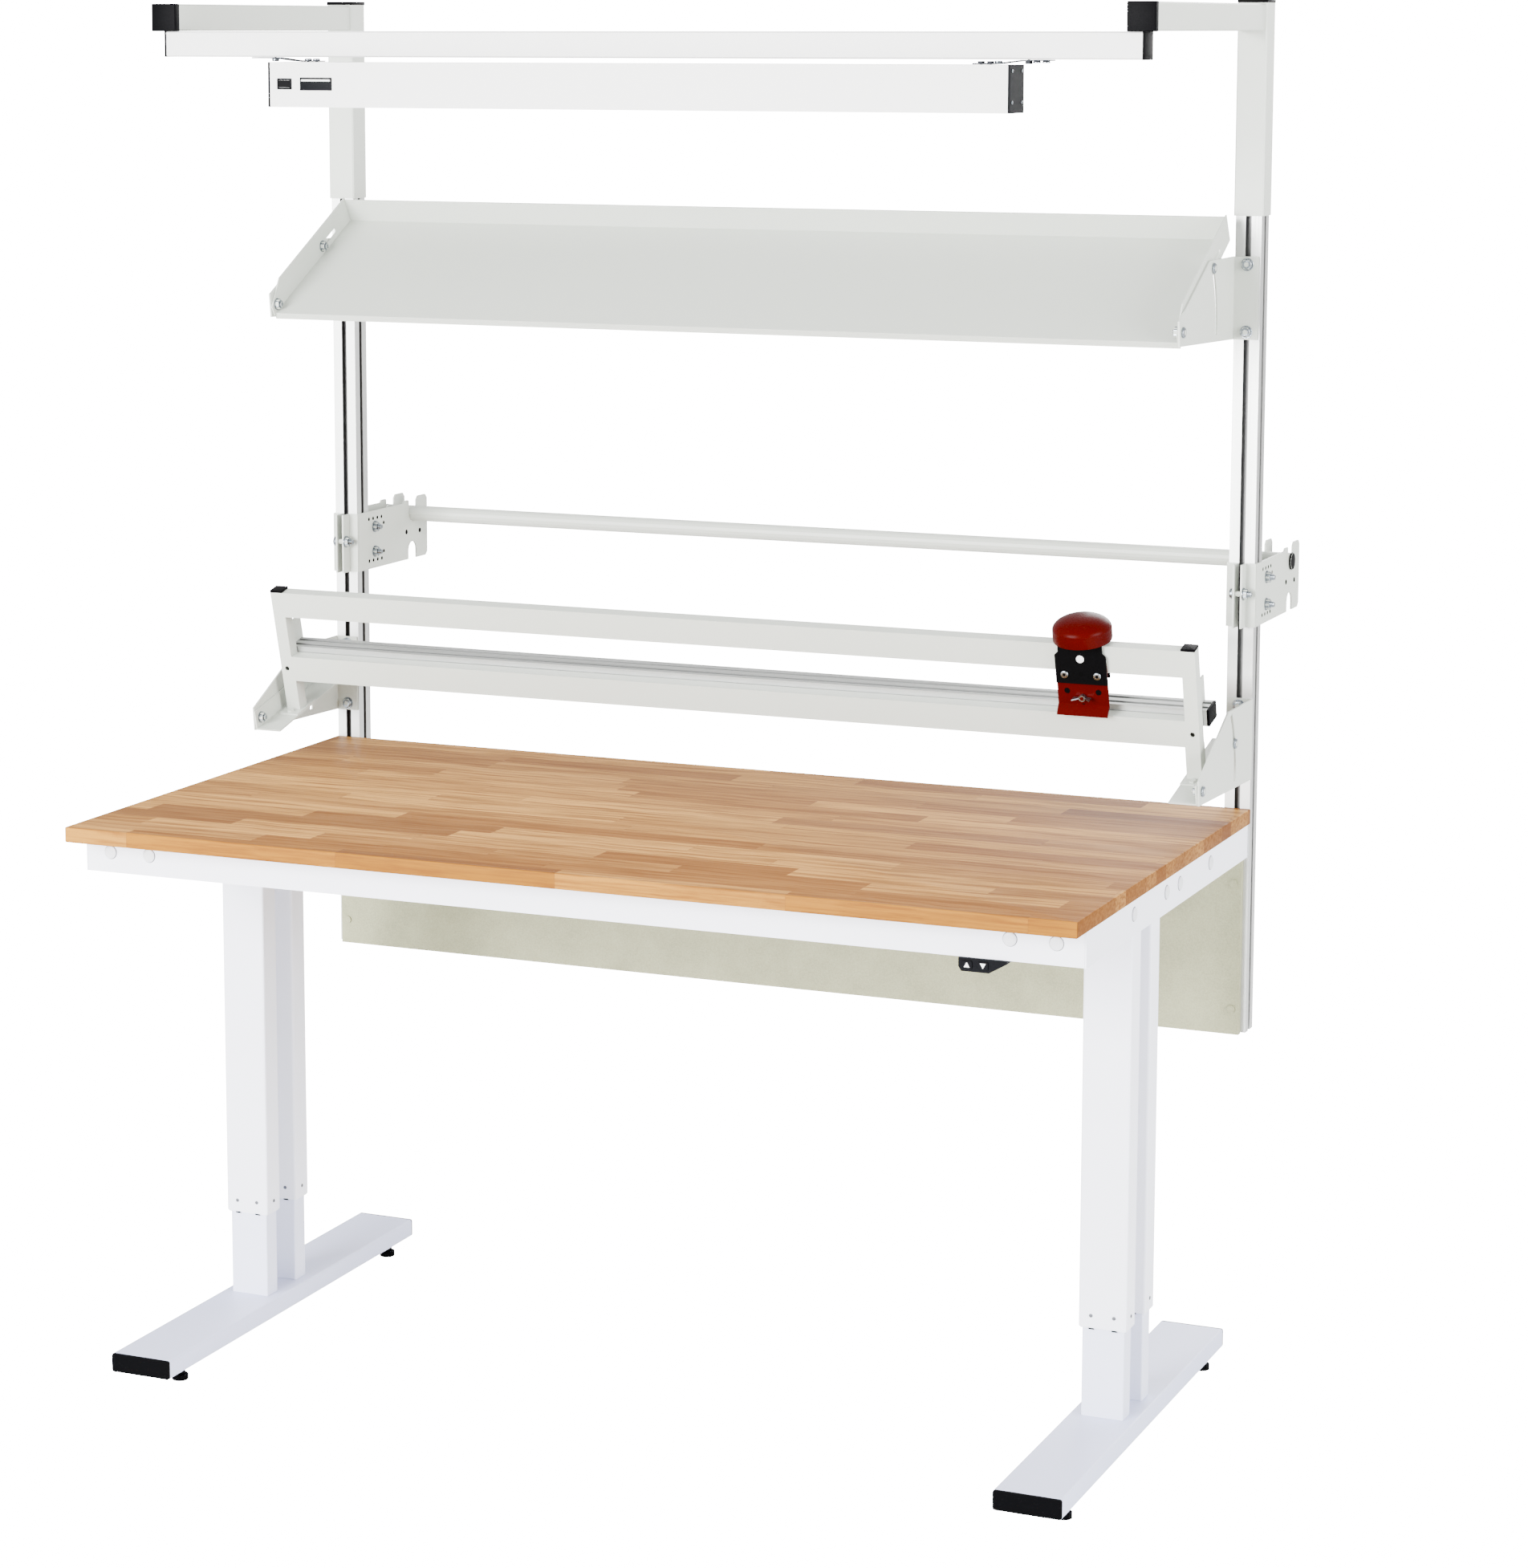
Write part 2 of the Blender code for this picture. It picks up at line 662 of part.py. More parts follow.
def side_rail(label, side, lift, paint):
    """A side rail: its web runs the full depth, its flanges stop short of the end rails; plugs outside."""
    outer = side * RAIL_SIDE
    inner = side * (RAIL_SIDE - RAIL_FLANGE)
    web = side * (RAIL_SIDE - RAIL_SHEET)
    bm = bmesh.new()
    prism(bm, "xz", channel(outer, inner, RAIL_BOTTOM, RAIL_TOP, RAIL_SHEET), RAIL_FRONT, RAIL_BACK)
    cuts = bmesh.new()
    clear = RAIL_FLANGE + SEAT_GAP
    low_x, high_x = sorted((web, inner - side * CUT_OVERRUN))
    for start, end in (
        (RAIL_FRONT - CUT_OVERRUN, RAIL_FRONT + clear), (RAIL_BACK - clear, RAIL_BACK + CUT_OVERRUN)
    ):
        block(cuts, (low_x, start, RAIL_BOTTOM - CUT_OVERRUN), (high_x, end, RAIL_TOP + CUT_OVERRUN))
    plugs = bmesh.new()
    for y in PLUG_SIDE_PLACES:
        centre = (FRONT_Y + y, RAIL_TOP - PLUG_DROP)
        head = outer + side * PLUG_HEAD
        screw(
            plugs,
            "yz",
            centre,
            PLUG_STEM_RADIUS,
            PLUG_RADIUS,
            head,
            outer - side * WELD,
            outer - side * PLUG_STEM,
            8,
        )
    node(f"side_rail_{label}", bm, paint, lift, cuts, [plugs])


FOOT_BOTTOM = LEVELLER_REACH
FOOT_TOP = FOOT_BOTTOM + FOOT_HEIGHT
FOOT_FRONT = FRONT_Y + FOOT_FRONT_SETBACK
FOOT_BACK = FOOT_FRONT + FOOT_LENGTH
FOOT_CENTRE = HALF_TOP - FOOT_SIDE_SETBACK - FOOT_WIDTH / 2
COLUMN_CENTRE = HALF_TOP - COLUMN_SIDE_SETBACK - COLUMN_WIDTH / 2
COLUMN_YS = tuple(FRONT_Y + setback + COLUMN_DEPTH / 2 for setback in COLUMN_FRONT_SETBACKS)
COLUMN_ENDS = tuple(zip(("front", "rear"), COLUMN_YS))
CARRIER_TOP = RAIL_TOP - RAIL_SHEET - SEAT_GAP
COLUMN_TOP = CARRIER_TOP - CARRIER_SHEET - SEAT_GAP
MOTOR_BOTTOM = COLUMN_TOP - LIFT_MOTOR_HEIGHT


def leveller_places(side):
    """The levellers of a foot stand right of its middle on both feet, because the feet are the same part."""
    x = side * FOOT_CENTRE + LEVELLER_OFFSET
    return ((x, FOOT_FRONT + LEVELLER_END_INSET), (x, FOOT_BACK - LEVELLER_END_INSET))


def base_bolt_places(side, y):
    """Two bolts under a column."""
    half = BASE_BOLT_SPREAD / 2
    return [(side * COLUMN_CENTRE + dx, y) for dx in (-half, half)]


def foot(label, side, paint):
    """A flat rectangular tube with threaded plates for its levellers and holes for the columns' bolts."""
    middle = side * FOOT_CENTRE
    half = FOOT_WIDTH / 2
    wall = FOOT_WALL
    floor = FOOT_BOTTOM + wall
    outer = rounded(middle - half, FOOT_BOTTOM, middle + half, FOOT_TOP, FOOT_CORNER)
    inner = rounded(
        middle - half + wall, floor, middle + half - wall, FOOT_TOP - wall, FOOT_CORNER - wall / 2
    )
    bm = bmesh.new()
    pipe(
        bm,
        "xz",
        outer,
        inner,
        FOOT_FRONT + FOOT_CAP_FLANGE + SEAT_GAP,
        FOOT_BACK - FOOT_CAP_FLANGE - SEAT_GAP,
    )
    holes = bmesh.new()
    plates = bmesh.new()
    for x, y in leveller_places(side):
        prism(plates, "xy", circle(x, y, LEVELLER_PAD_RADIUS, 8), floor - WELD, floor + LEVELLER_HEX_HEIGHT)
        outline = circle(x, y, LEVELLER_STEM_RADIUS + RUNNING_GAP, 10)
        prism(holes, "xy", outline, FOOT_BOTTOM - CUT_OVERRUN, floor + LEVELLER_HEX_HEIGHT + CUT_OVERRUN)
    for column_y in COLUMN_YS:
        for x, y in base_bolt_places(side, column_y):
            shank = circle(x, y, BASE_BOLT_RADIUS + SEAT_GAP, 6)
            prism(holes, "xy", shank, FOOT_TOP - wall - CUT_OVERRUN, FOOT_TOP + CUT_OVERRUN)
    node(f"foot_{label}", bm, paint, None, holes, [plates])


def foot_caps(label, side, plastic):
    """The two black end caps of a foot: a flange of the tube's size and a plug in the tube."""
    middle = side * FOOT_CENTRE
    half = FOOT_WIDTH / 2
    inset = FOOT_WALL + RUNNING_GAP
    flange = rounded(middle - half, FOOT_BOTTOM, middle + half, FOOT_TOP, FOOT_CORNER)
    plug = rounded(
        middle - half + inset,
        FOOT_BOTTOM + inset,
        middle + half - inset,
        FOOT_TOP - inset,
        FOOT_CORNER - inset / 2,
    )
    for end, start, inward in (("front", FOOT_FRONT, 1), ("rear", FOOT_BACK, -1)):
        bm = bmesh.new()
        face = start + inward * FOOT_CAP_FLANGE
        stepped(bm, "xz", flange, plug, start, face, face + inward * FOOT_CAP_PLUG)
        node(f"foot_cap_{label}_{end}", bm, plastic)


def levellers(label, side, black):
    """The screwed feet: floor pad, hexagon and stem in one turned solid, each on its own pivot."""
    pad_top = LEVELLER_PAD_HEIGHT
    hex_top = pad_top + LEVELLER_HEX_HEIGHT
    profile = [
        (LEVELLER_PAD_RADIUS, 0.0),
        (LEVELLER_PAD_RADIUS, pad_top),
        (LEVELLER_HEX_RADIUS, pad_top),
        (LEVELLER_HEX_RADIUS, hex_top),
        (LEVELLER_STEM_RADIUS, hex_top),
        (LEVELLER_STEM_RADIUS, LEVELLER_STEM),
    ]
    for end, (x, y) in zip(("front", "rear"), leveller_places(side)):
        axis = pivot(f"leveller_turn_{label}_{end}", (x, y, 0.0))
        bm = bmesh.new()
        turned(bm, "xy", (0.0, 0.0), profile, 10)
        node(f"leveller_{label}_{end}", bm, black, axis)


def tube_fill(x, y):
    """The outline of a block that fills an inner tube and is welded to it."""
    half_x = INNER_WIDTH / 2 - INNER_WALL + WELD
    half_y = INNER_DEPTH / 2 - INNER_WALL + WELD
    return rounded(x - half_x, y - half_y, x + half_x, y + half_y, INNER_CORNER / 2)


def inner_column(label, side, end, y, paint):
    """A fixed inner tube, with its base block and bolts below and the spindle's threaded block at the top."""
    x = side * COLUMN_CENTRE
    half_x = INNER_WIDTH / 2
    half_y = INNER_DEPTH / 2
    wall = INNER_WALL
    outer = rounded(x - half_x, y - half_y, x + half_x, y + half_y, INNER_CORNER)
    inner = rounded(
        x - half_x + wall, y - half_y + wall, x + half_x - wall, y + half_y - wall, INNER_CORNER / 2
    )
    bm = bmesh.new()
    start = FOOT_TOP + SEAT_GAP
    pipe(bm, "xy", outer, inner, start, INNER_TOP)
    blocks = bmesh.new()
    prism(blocks, "xy", tube_fill(x, y), start, start + BASE_BLOCK_HEIGHT)
    prism(blocks, "xy", tube_fill(x, y), INNER_TOP - SPINDLE_NUT_HEIGHT, INNER_TOP)
    bolts = bmesh.new()
    face = FOOT_TOP - FOOT_WALL - SEAT_GAP
    for centre in base_bolt_places(side, y):
        head = face - BASE_BOLT_HEAD
        screw(bolts, "xy", centre, BASE_BOLT_RADIUS, BASE_BOLT_HEAD_RADIUS, head, face, start + 2 * WELD, 6)
    bore = bmesh.new()
    outline = circle(x, y, SPINDLE_RADIUS + RUNNING_GAP, 8)
    prism(bore, "xy", outline, INNER_TOP - SPINDLE_NUT_HEIGHT - CUT_OVERRUN, INNER_TOP + CUT_OVERRUN)
    node(f"inner_column_{label}_{end}", bm, paint, None, bore, [blocks, bolts])


def outer_tube(x, y, inset, corner):
    """The outline of an outer column's section, drawn in by inset."""
    half_x = COLUMN_WIDTH / 2 - inset
    half_y = COLUMN_DEPTH / 2 - inset
    return rounded(x - half_x, y - half_y, x + half_x, y + half_y, corner)


def outer_column(label, side, end, y, lift, paint):
    """A moving outer tube, with the glide sleeve at its lower end."""
    x = side * COLUMN_CENTRE
    corner = COLUMN_CORNER - COLUMN_WALL / 2
    bm = bmesh.new()
    pipe(
        bm,
        "xy",
        outer_tube(x, y, 0, COLUMN_CORNER),
        outer_tube(x, y, COLUMN_WALL, corner),
        COLUMN_BOTTOM,
        COLUMN_TOP,
    )
    glide = bmesh.new()
    half_x = INNER_WIDTH / 2 + RUNNING_GAP
    half_y = INNER_DEPTH / 2 + RUNNING_GAP
    bore = rounded(x - half_x, y - half_y, x + half_x, y + half_y, INNER_CORNER)
    skin = outer_tube(x, y, COLUMN_WALL - WELD, corner)
    pipe(glide, "xy", skin, bore, COLUMN_BOTTOM - GLIDE_LIP, COLUMN_BOTTOM - GLIDE_LIP + GLIDE_HEIGHT)
    node(f"outer_column_{label}_{end}", bm, paint, lift, None, [glide])


def column_bolt_places(side, y):
    """Two bolts down through the carrier into a motor unit."""
    half = COLUMN_BOLT_SPREAD / 2
    return [(side * COLUMN_CENTRE + dx, y) for dx in (-half, half)]


def lift_drive(label, side, end, y, lift, dark):
    """A motor and gearbox unit that hangs in the top of an outer tube, with its lifting spindle."""
    x = side * COLUMN_CENTRE
    bm = bmesh.new()
    prism(
        bm,
        "xy",
        outer_tube(x, y, COLUMN_WALL + SEAT_GAP, COLUMN_CORNER - COLUMN_WALL / 2),
        MOTOR_BOTTOM,
        COLUMN_TOP,
    )
    spindle = bmesh.new()
    prism(spindle, "xy", circle(x, y, SPINDLE_RADIUS, 8), MOTOR_BOTTOM - SPINDLE_LENGTH, MOTOR_BOTTOM + WELD)
    holes = bmesh.new()
    for centre in column_bolt_places(side, y):
        bore = circle(*centre, COLUMN_BOLT_RADIUS + SEAT_GAP, 6)
        prism(holes, "xy", bore, COLUMN_TOP - COLUMN_BOLT_LENGTH - SEAT_GAP, COLUMN_TOP + CUT_OVERRUN)
    node(f"lift_drive_{label}_{end}", bm, dark, lift, holes, [spindle])


def carrier(label, side, lift, paint):
    """A channel from front rail to rear rail on two columns, with its bolts up and down."""
    top = CARRIER_TOP
    bm = bmesh.new()
    middle = side * COLUMN_CENTRE
    half = CARRIER_WIDTH / 2
    outline = [
        (middle - half, top - CARRIER_HEIGHT),
        (middle - half, top),
        (middle + half, top),
        (middle + half, top - CARRIER_HEIGHT),
        (middle + half - CARRIER_SHEET, top - CARRIER_HEIGHT),
        (middle + half - CARRIER_SHEET, top - CARRIER_SHEET),
        (middle - half + CARRIER_SHEET, top - CARRIER_SHEET),
        (middle - half + CARRIER_SHEET, top - CARRIER_HEIGHT),
    ]
    prism(bm, "xz", outline, RAIL_FRONT + RAIL_SHEET + SEAT_GAP, RAIL_BACK - RAIL_SHEET - SEAT_GAP)
    bolts = bmesh.new()
    face = top - CARRIER_SHEET
    for centre in on_side(carrier_bolt_places(), side):
        head = face - CARRIER_BOLT_HEAD
        screw(
            bolts, "xy", centre, CARRIER_BOLT_RADIUS, CARRIER_BOLT_HEAD_RADIUS, head, face + WELD, RAIL_TOP, 6
        )
    for y in COLUMN_YS:
        for centre in column_bolt_places(side, y):
            tip = COLUMN_TOP - COLUMN_BOLT_LENGTH
            head = top + COLUMN_BOLT_HEAD
            screw(bolts, "xy", centre, COLUMN_BOLT_RADIUS, COLUMN_BOLT_HEAD_RADIUS, head, top - WELD, tip, 6)
    node(f"column_carrier_{label}", bm, paint, lift, None, [bolts])


def carrier_bolt_places():
    """Two bolts at each end of both carriers, through the top flanges of the front and rear rails."""
    half = COLUMN_BOLT_SPREAD / 2
    return [(side * COLUMN_CENTRE + dx, y) for _, side in SIDES for y in FLANGE_ROWS for dx in (-half, half)]


POST_CENTRE = HALF_TOP - POST_SIDE_SETBACK - POST_WIDTH / 2
POST_FRONT = BACK_Y + SEAT_GAP
POST_AXIS_Y = POST_FRONT + POST_WIDTH / 2
NUT_FRONT = POST_FRONT + SLOT_LIP + SEAT_GAP


def post_bolt_places():
    """Centres of the bolts that hold the posts to the rear rail."""
    return [(side * POST_CENTRE, RAIL_TOP - drop) for _, side in SIDES for drop in RAIL_BOLT_DROPS]


def post_bolts(places, face):
    """Bolts from a face into the posts' front slots, and the threaded plates behind the slots' lips."""
    bolts = bmesh.new()
    nuts = bmesh.new()
    half_w = NUT_WIDTH / 2
    half_h = NUT_HEIGHT / 2
    for x, z in places:
        tip = NUT_FRONT + NUT_THICKNESS - WELD
        screw(
            bolts,
            "xz",
            (x, z),
            POST_BOLT_RADIUS,
            POST_BOLT_HEAD_RADIUS,
            face - POST_BOLT_HEAD,
            face + WELD,
            tip,
            6,
        )
        outline = rectangle(x - half_w, z - half_h, x + half_w, z + half_h)
        prism(nuts, "xz", outline, NUT_FRONT, NUT_FRONT + NUT_THICKNESS)
    return bolts, nuts


def slotted_section(x, y):
    """A square section with a T slot in each face, going round from the front left corner."""
    half = POST_WIDTH / 2
    lip = half - SLOT_LIP
    floor = half - SLOT_DEPTH
    face = [
        (-half, half),
        (-SLOT_OPENING / 2, half),
        (-SLOT_OPENING / 2, lip),
        (-SLOT_CAVITY / 2, lip),
        (-SLOT_CAVITY / 2, floor),
        (SLOT_CAVITY / 2, floor),
        (SLOT_CAVITY / 2, lip),
        (SLOT_OPENING / 2, lip),
        (SLOT_OPENING / 2, half),
    ]
    outline = []
    for turn in range(4):
        cosine = round(math.cos(turn * math.pi / 2))
        sine = round(math.sin(turn * math.pi / 2))
        outline += [(x + u * cosine + v * sine, y - u * sine + v * cosine) for u, v in face]
    return outline


def post(label, side, lift, aluminium):
    """A slotted post."""
    bm = bmesh.new()
    prism(bm, "xy", slotted_section(side * POST_CENTRE, POST_AXIS_Y), POST_BOTTOM, POST_TOP)
    node(f"post_{label}", bm, aluminium, lift)


def modesty_panel(lift, board):
    """The panel in front of the posts, from just under the rear rail down, screwed into the posts' slots."""
    reach = HALF_TOP - PANEL_SIDE_SETBACK
    back = POST_FRONT - SEAT_GAP
    front = back - PANEL_THICKNESS
    bm = bmesh.new()
    block(bm, (-reach, front, PANEL_BOTTOM), (reach, back, RAIL_BOTTOM - SEAT_GAP))
    low = PANEL_BOTTOM + POST_WIDTH
    high = RAIL_BOTTOM - POST_WIDTH
    screws = bmesh.new()
    nuts = bmesh.new()
    for x, z in [(side * POST_CENTRE, z) for _, side in SIDES for z in (low, high)]:
        head = front - PANEL_SCREW_HEAD
        tip = NUT_FRONT + NUT_THICKNESS - WELD
        screw(screws, "xz", (x, z), PANEL_SCREW_RADIUS, PANEL_SCREW_HEAD_RADIUS, head, front + WELD, tip, 8)
        half_w = NUT_WIDTH / 2
        half_h = NUT_HEIGHT / 2
        outline = rectangle(x - half_w, z - half_h, x + half_w, z + half_h)
        prism(nuts, "xz", outline, NUT_FRONT, NUT_FRONT + NUT_THICKNESS)
    node("modesty_panel", bm, board, lift, None, [screws, nuts])


SLEEVE_HALF = SLEEVE_WIDTH / 2
ARM_FRONT = FRONT_Y + ARM_FRONT_SETBACK
BAR_FRONT = FRONT_Y + BAR_FRONT_SETBACK
BAR_TOP = ARM_BOTTOM - SEAT_GAP
BAR_BOTTOM = BAR_TOP - BAR_HEIGHT


def bar_screw_places():
    """A screw through each arm's lower wall into the cross bar."""
    return [(side * (POST_CENTRE - BAR_SCREW_INSET), BAR_FRONT + BAR_SCREW_SETBACK) for _, side in SIDES]


def gantry_arm(label, side, lift, paint):
    """A square sleeve that fits over the post, the arm welded to its front, and both their caps."""
    x = side * POST_CENTRE
    y = POST_AXIS_Y
    bore = POST_WIDTH / 2 + SEAT_GAP
    sleeve = bmesh.new()
    outer = rounded(x - SLEEVE_HALF, y - SLEEVE_HALF, x + SLEEVE_HALF, y + SLEEVE_HALF, TUBE_CORNER, 1)
    inner = rounded(x - bore, y - bore, x + bore, y + bore, SEAT_GAP, 1)
    pipe(sleeve, "xy", outer, inner, SLEEVE_BOTTOM, SLEEVE_TOP)
    arm = bmesh.new()
    half = ARM_WIDTH / 2
    wall = ARM_WALL
    skin = rounded(x - half, ARM_BOTTOM, x + half, ARM_TOP, TUBE_CORNER, 1)
    hollow = rounded(x - half + wall, ARM_BOTTOM + wall, x + half - wall, ARM_TOP - wall, TUBE_CORNER / 2, 1)
    pipe(arm, "xz", skin, hollow, ARM_FRONT + ARM_CAP, y - SLEEVE_HALF + wall / 4)
    caps = bmesh.new()
    prism(caps, "xy", outer, SLEEVE_TOP - WELD, SLEEVE_TOP + SLEEVE_CAP)
    prism(caps, "xz", skin, ARM_FRONT, ARM_FRONT + ARM_CAP + WELD)
    holes = bmesh.new()
    for screw_x, screw_y in on_side(bar_screw_places(), side):
        shank = circle(screw_x, screw_y, BAR_SCREW_RADIUS + SEAT_GAP, 6)
        prism(holes, "xy", shank, ARM_BOTTOM - CUT_OVERRUN, ARM_BOTTOM + wall + CUT_OVERRUN)
    node(f"gantry_arm_{label}", sleeve, paint, lift, holes, [arm, caps])


def cross_bar(lift, paint):
    """The rectangular tube under the arms, with its caps and screws, and holes for the lamp's bolts."""
    half = HALF_TOP - BAR_SIDE_SETBACK
    back = BAR_FRONT + BAR_DEPTH
    outer = rounded(BAR_FRONT, BAR_BOTTOM, back, BAR_TOP, TUBE_CORNER, 1)
    wall = ARM_WALL
    inner = rounded(BAR_FRONT + wall, BAR_BOTTOM + wall, back - wall, BAR_TOP - wall, TUBE_CORNER / 2, 1)
    bm = bmesh.new()
    pipe(bm, "yz", outer, inner, -half + BAR_CAP, half - BAR_CAP)
    caps = bmesh.new()
    for _, side in SIDES:
        low_x, high_x = sorted((side * half, side * (half - BAR_CAP - WELD)))
        prism(caps, "yz", outer, low_x, high_x)
    screws = bmesh.new()
    face = ARM_BOTTOM + wall + SEAT_GAP
    for centre in bar_screw_places():
        head = face + BAR_SCREW_HEAD
        screw(
            screws,
            "xy",
            centre,
            BAR_SCREW_RADIUS,
            BAR_SCREW_HEAD_RADIUS,
            head,
            face,
            BAR_TOP - wall - WELD,
            6,
        )
    holes = bmesh.new()
    for end, side in LAMP_ENDS:
        shank = circle(spring_bolt_place(end, side), BAR_AXIS_Y, SPRING_BOLT_RADIUS + SEAT_GAP, 6)
        prism(holes, "xy", shank, BAR_BOTTOM - CUT_OVERRUN, BAR_BOTTOM + wall + CUT_OVERRUN)
    node("cross_bar", bm, paint, lift, holes, [caps, screws])


LAMP_LEFT = LAMP_CENTRE - LAMP_LENGTH / 2
LAMP_RIGHT = LAMP_CENTRE + LAMP_LENGTH / 2
LAMP_FRONT = FRONT_Y + LAMP_FRONT_SETBACK
LAMP_BACK = LAMP_FRONT + LAMP_DEPTH
LAMP_TOP = BAR_TOP - BAR_HEIGHT - LAMP_DROP
LAMP_BOTTOM = LAMP_TOP - LAMP_HEIGHT
LAMP_ENDS = ((LAMP_LEFT, -1), (LAMP_RIGHT, 1))
BAR_AXIS_Y = BAR_FRONT + BAR_AXIS_SETBACK
SPRING_HIGH = BAR_BOTTOM - SEAT_GAP
SPRING_LOW = LAMP_TOP + SEAT_GAP + SPRING_THICKNESS


def spring_bolt_place(end, side):
    """Where the outer bolt of a lamp spring enters the cross bar."""
    return end + side * SPRING_OUTREACH / 4


def lamp_stud_places(end, side):
    """Where an end of the lamp is bolted to a spring's inner end."""
    return [end - side * place_in for place_in in SPRING_NUT_PLACES]


def lamp_housing(lift, paint):
    """An extrusion open at the bottom, with lips for the diffuser, and its light board, driver and badge."""
    wall = LAMP_WALL
    lip = LAMP_GROOVE
    front, back, bottom, top = LAMP_FRONT, LAMP_BACK, LAMP_BOTTOM, LAMP_TOP
    outline = [
        (front, bottom),
        (front, top),
        (back, top),
        (back, bottom),
        (back - wall - lip, bottom),
        (back - wall - lip, bottom + wall),
        (back - wall, bottom + wall),
        (back - wall, top - wall),
        (front + wall, top - wall),
        (front + wall, bottom + wall),
        (front + wall + lip, bottom + wall),
        (front + wall + lip, bottom),
    ]
    cap = LAMP_CAP + SEAT_GAP
    bm = bmesh.new()
    prism(bm, "yz", outline, LAMP_LEFT + cap, LAMP_RIGHT - cap)
    under = top - wall + WELD
    middle = front + LAMP_DEPTH / 2
    room = max(SPRING_NUT_PLACES) + SPRING_BOLT_HEAD_RADIUS + LAMP_CAP
    inside = bmesh.new()
    start = LAMP_LEFT + room
    low = top - wall - LED_BOARD_THICKNESS
    block(inside, (start, front + wall + LED_BOARD_INSET, low), (LAMP_RIGHT - room, middle, under))
    low = top - wall - LAMP_DRIVER_HEIGHT
    block(inside, (start, middle + LAMP_CAP, low), (start + LAMP_DRIVER_LENGTH, back - 3 * LAMP_CAP, under))
    outside = bmesh.new()
    x0, z0, x1, z1 = switch_box()
    edge = SWITCH_FRAME
    outer = rectangle(x0, z0, x1, z1)
    pipe(
        outside,
        "xz",
        outer,
        rectangle(x0 + edge, z0 + edge, x1 - edge, z1 - edge),
        front - SWITCH_PROUD / 2,
        front + SWITCH_DEPTH,
    )
    badge_x = LAMP_LEFT + BADGE_INSET
    badge_z = top - SWITCH_DROP - SWITCH_HEIGHT / 2 - BADGE_HEIGHT / 2
    block(
        outside,
        (badge_x, front - BADGE_THICKNESS, badge_z),
        (badge_x + BADGE_WIDTH, front + WELD, badge_z + BADGE_HEIGHT),
    )
    holes = bmesh.new()
    for end, side in LAMP_ENDS:
        for x in lamp_stud_places(end, side):
            shank = circle(x, BAR_AXIS_Y, SPRING_BOLT_RADIUS + SEAT_GAP, 6)
            prism(holes, "xy", shank, top - wall - CUT_OVERRUN, top + CUT_OVERRUN)
    window = rectangle(x0 + edge, z0 + edge, x1 - edge, z1 - edge)
    prism(holes, "xz", window, front - CUT_OVERRUN, front + wall + CUT_OVERRUN)
    node("lamp_housing", bm, paint, lift, holes, [inside, outside])


def lamp_caps(lift, plastic):
    """Dark end caps, each with a plug in the housing above the diffuser."""
    outer = rectangle(LAMP_FRONT, LAMP_BOTTOM, LAMP_BACK, LAMP_TOP)
    inset = LAMP_WALL + SEAT_GAP
    low = LAMP_BOTTOM + LAMP_WALL + DIFFUSER_THICKNESS + 2 * SEAT_GAP
    inner = rectangle(LAMP_FRONT + inset, low, LAMP_BACK - inset, LAMP_TOP - inset)
    for (label, _), (end, side) in zip(SIDES, LAMP_ENDS):
        bm = bmesh.new()
        face = end - side * LAMP_CAP
        stepped(bm, "yz", outer, inner, end, face, face - side * LAMP_CAP)
        node(f"lamp_cap_{label}", bm, plastic, lift)


def lamp_diffuser(lift, milky):
    """The diffuser sheet on the housing's lips."""
    cap = LAMP_CAP + SEAT_GAP
    inset = LAMP_WALL + SEAT_GAP
    bm = bmesh.new()
    low = LAMP_BOTTOM + LAMP_WALL + SEAT_GAP
    start = (LAMP_LEFT + cap, LAMP_FRONT + inset, low)
    block(bm, start, (LAMP_RIGHT - cap, LAMP_BACK - inset, low + DIFFUSER_THICKNESS))
    node("lamp_diffuser", bm, milky, lift)


def lamp_springs(lift, black):
    """Curved spring strips between bar and lamp: a bolt up into the bar, two studs down into the lamp."""
    steps = 8
    for (label, _), (end, side) in zip(SIDES, LAMP_ENDS):
        top = []
        for i in range(steps + 1):
            share = i / steps
            bend = min(max((share - SPRING_BEND_SHARE) / SPRING_SPAN_SHARE, 0.0), 1.0)
            rise = (1 + math.cos(math.pi * bend)) / 2
            x = end + side * (SPRING_OUTREACH - share * SPRING_LENGTH)
            top.append((x, SPRING_LOW + (SPRING_HIGH - SPRING_LOW) * rise))
        bottom = [(x, z - SPRING_THICKNESS) for x, z in reversed(top)]
        bm = bmesh.new()
        prism(bm, "xz", top + bottom, BAR_AXIS_Y - SPRING_WIDTH / 2, BAR_AXIS_Y + SPRING_WIDTH / 2)
        bolts = bmesh.new()
        face = SPRING_HIGH - SPRING_THICKNESS
        centre = (spring_bolt_place(end, side), BAR_AXIS_Y)
        tip = BAR_BOTTOM + SPRING_BOLT_HEAD
        radius = SPRING_BOLT_HEAD_RADIUS
        screw(bolts, "xy", centre, SPRING_BOLT_RADIUS, radius, face - SPRING_BOLT_HEAD, face + WELD, tip, 6)
        for x in lamp_stud_places(end, side):
            nut = SPRING_LOW + SPRING_NUT_HEIGHT
            tip = LAMP_TOP - LAMP_WALL - SPRING_NUT_HEIGHT
            screw(bolts, "xy", (x, BAR_AXIS_Y), SPRING_BOLT_RADIUS, radius, nut, SPRING_LOW - WELD, tip, 6)
        node(f"lamp_spring_{label}", bm, black, lift, None, [bolts])


def switch_box():
    """Low and high x and z of the switch frame on the lamp's front."""
    x0 = LAMP_LEFT + SWITCH_INSET
    z1 = LAMP_TOP - SWITCH_DROP
    return x0, z1 - SWITCH_HEIGHT, x0 + SWITCH_WIDTH, z1


